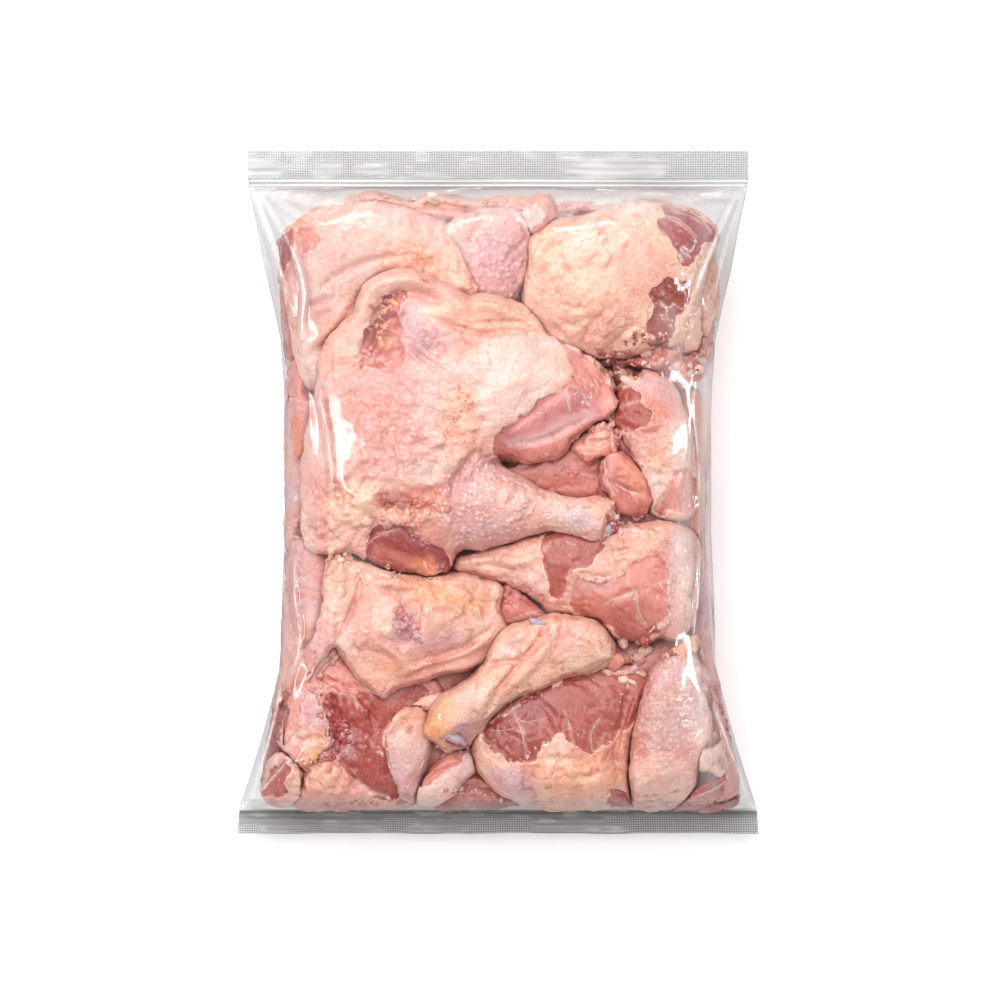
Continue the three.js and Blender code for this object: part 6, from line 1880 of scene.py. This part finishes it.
def make_seal(name, at_top, material):
    """A crimped seal: a thin closed strip with a waffle of small pyramids pressed into both faces."""
    pitch = 1.2
    depth = 0.38
    thick = 0.55
    if at_top:
        inner, outer, inner_half, outer_half, height = TOP_LINE, TOP_Y, 125.4, TOP_HALF, TOP_SEAL_Z
    else:
        inner, outer, inner_half, outer_half, height = (BOTTOM_Y, BOTTOM_LINE, BOTTOM_HALF, 129.8,
                                                        BOTTOM_SEAL_Z)
    rows = int(round((outer - inner) / pitch))
    columns = int(round(2 * inner_half / pitch))
    u = np.linspace(-1, 1, columns + 1)
    v = np.linspace(0, 1, rows + 1)
    corners_u, corners_v = np.meshgrid(u, v, indexing="ij")
    middle_u, middle_v = np.meshgrid((u[1:] + u[:-1]) / 2, (v[1:] + v[:-1]) / 2, indexing="ij")
    from_edge = (lambda pv: 1 - pv) if at_top else (lambda pv: pv)

    def place(pu, pv, side, tip):
        """Points of one face, and how white each is: the crimp's whitening, painted highlight on its tips
        and painted shade between them.
        """
        half = inner_half + (outer_half - inner_half) * pv
        x = pu * half
        y = inner + (outer - inner) * pv
        ripple = 0.45 * np.sin(x / 13.0 + 0.5) + 0.2 * np.sin(x / 5.1)
        y = y + ripple * (0.12 if at_top else 0.5) * (1 - from_edge(pv))
        flat = np.column_stack([x.ravel() * 0.8, y.ravel() * 1.6, np.zeros(x.size)])
        ground = layered(flat, 20.0, 71 if at_top else 73, 3).reshape(x.shape)
        pressed = smoothstep(-0.30, 0.10, ground + (0 if at_top else 0.15))
        if not at_top:
            pressed = pressed * smoothstep(0.78, 0.60, from_edge(pv))
        lines = 0.5 + 0.5 * np.sin(from_edge(pv) * 26 + 0.6 * np.sin(x / 15.0))
        streaks = layered(np.column_stack([x.ravel() / 6, y.ravel() * 1.5, np.zeros(x.size)]), 2.0, 79, 2)
        plain = 0.36 + 0.22 * lines + 0.20 * streaks.reshape(x.shape)
        if not at_top:
            # bottom seal: painted sheen streaks, painted shade darkening it towards the meat, and a dark
            # line of painted shadow along its outer edge
            sheen = smoothstep(0.1, 0.6, streaks.reshape(x.shape))
            plain = 0.02 + 0.26 * smoothstep(1.0, 0.1, from_edge(pv)) + 0.16 * lines + 0.22 * sheen
            plain = plain * smoothstep(0.0, 0.08, from_edge(pv))
        # tips lighter and corners darker: partly the crimp's whitening, partly painted highlight and shade
        white = plain * (1 - pressed) + (0.95 * tip + 0.12 * (1 - tip)) * pressed
        z = height + seal_wave(x, at_top) + side * (thick / 2 + tip * depth * (0.2 + 0.8 * pressed))
        return np.column_stack([x.ravel(), y.ravel(), z.ravel()]), white.ravel()

    parts = [place(corners_u, corners_v, 1, 0), place(middle_u, middle_v, 1, 1),
             place(corners_u, corners_v, -1, 0), place(middle_u, middle_v, -1, 1)]
    shift = corners_u.size + middle_u.size
    wide = np.arange(corners_u.size).reshape(corners_u.shape)
    tips = np.arange(middle_u.size).reshape(middle_u.shape) + corners_u.size
    faces = []
    for side in (0, 1):
        base = side * shift
        a, b, c, d = cell_corners(wide + base)
        for first, second in ((a, b), (b, c), (c, d), (d, a)):
            three = np.stack([first, second, tips + base], axis=-1).reshape(-1, 3)
            faces.extend(map(tuple, (three if side == 0 else three[:, ::-1]).tolist()))
    rim, after = grid_rim(wide)
    faces.extend(map(tuple, np.stack([after, rim, rim + shift, after + shift], axis=-1).tolist()))
    piece = add_mesh(name, np.vstack([part[0] for part in parts]), faces, material)
    whitening_and_glint = np.concatenate([part[1] for part in parts])
    set_value(piece.data, "whitening_and_glint", whitening_and_glint)
    set_value(piece.data, "dense", np.full(len(whitening_and_glint), 0.0 if at_top else 0.9))
    piece.data.shade_flat()
    return piece


def make_floor():
    """A plain white floor under the bag."""
    size = 4.0
    count = 12
    line = np.linspace(-size, size, count + 1)
    x, y = np.meshgrid(line, line, indexing="ij")
    wide = np.arange(x.size).reshape(x.shape)
    faces = np.stack(cell_corners(wide), axis=-1).reshape(-1, 4)
    mesh = bpy.data.meshes.new("studio_floor")
    mesh.from_pydata(np.column_stack([x.ravel(), y.ravel(), np.zeros(x.size)]), [], faces)
    mesh.materials.append(floor_material())
    floor = bpy.data.objects.new("studio_floor", mesh)
    bpy.context.scene.collection.objects.link(floor)


def add_light(name, place, aim, width, length, power, gloss_only=False):
    """A soft rectangular light at place, turned to aim. A gloss light shows only in reflections."""
    lamp = bpy.data.lights.new(name, "AREA")
    lamp.shape = "RECTANGLE"
    lamp.size, lamp.size_y = width, length
    lamp.energy = power
    body = bpy.data.objects.new(name, lamp)
    bpy.context.scene.collection.objects.link(body)
    body.location = place
    body.visible_diffuse = not gloss_only
    direction = np.array(aim, float) - np.array(place, float)
    direction /= np.linalg.norm(direction)
    body.rotation_euler = (math.acos(-direction[2]), 0, math.atan2(-direction[0], direction[1]))
    return body


def light_studio():
    """A bright plain studio: white all round, one soft key above, and a strip at each side."""
    world = bpy.data.worlds.new("studio")
    world.use_nodes = True
    world.node_tree.nodes["Background"].inputs["Color"].default_value = (1, 1, 1, 1)
    world.node_tree.nodes["Background"].inputs["Strength"].default_value = 0.70
    bpy.context.scene.world = world
    add_light("key", (-0.35, 0.75, 1.5), (0, 0, 0.03), 1.9, 1.9, 38)
    add_light("glow_top", (-0.22, 1.0, 0.62), (-0.03, 0.1, 0.04), 0.5, 0.30, 8.0, gloss_only=True)
    add_light("strip_left", (-0.95, 0.05, 0.60), (0, 0, 0.04), 0.034, 1.5, 5.5, gloss_only=True)
    add_light("strip_right", (0.95, 0.05, 0.24), (0, 0, 0.04), 0.034, 1.5, 11.0, gloss_only=True)


def aim_camera():
    """A long lens straight above the bag, framed as the photograph is: 500 mm across its picture."""
    camera = bpy.data.cameras.new("camera")
    camera.lens = 300
    camera.sensor_width = 36
    shown = 0.5
    level = 0.030
    distance = shown * camera.lens / camera.sensor_width
    body = bpy.data.objects.new("camera", camera)
    bpy.context.scene.collection.objects.link(body)
    body.location = (0.001, -0.004, level + distance)
    body.rotation_euler = (0, 0, 0)
    bpy.context.scene.camera = body


heap = Heap()
chicken = chicken_material()
made = [make_piece(spec, heap, chicken) for spec in PIECES]
shade_depths(made, heap)
make_sinews(heap, chicken)
make_bits(heap, chicken)
make_scraps(heap, chicken)
make_film(heap, film_material())
crimp = seal_material()
make_seal("top_seal", True, crimp)
make_ribs(crimp)
make_seal("bottom_seal", False, crimp)
make_floor()
light_studio()
aim_camera()
scene = bpy.context.scene
scene.view_settings.view_transform = "Standard"
scene.view_settings.look = "None"
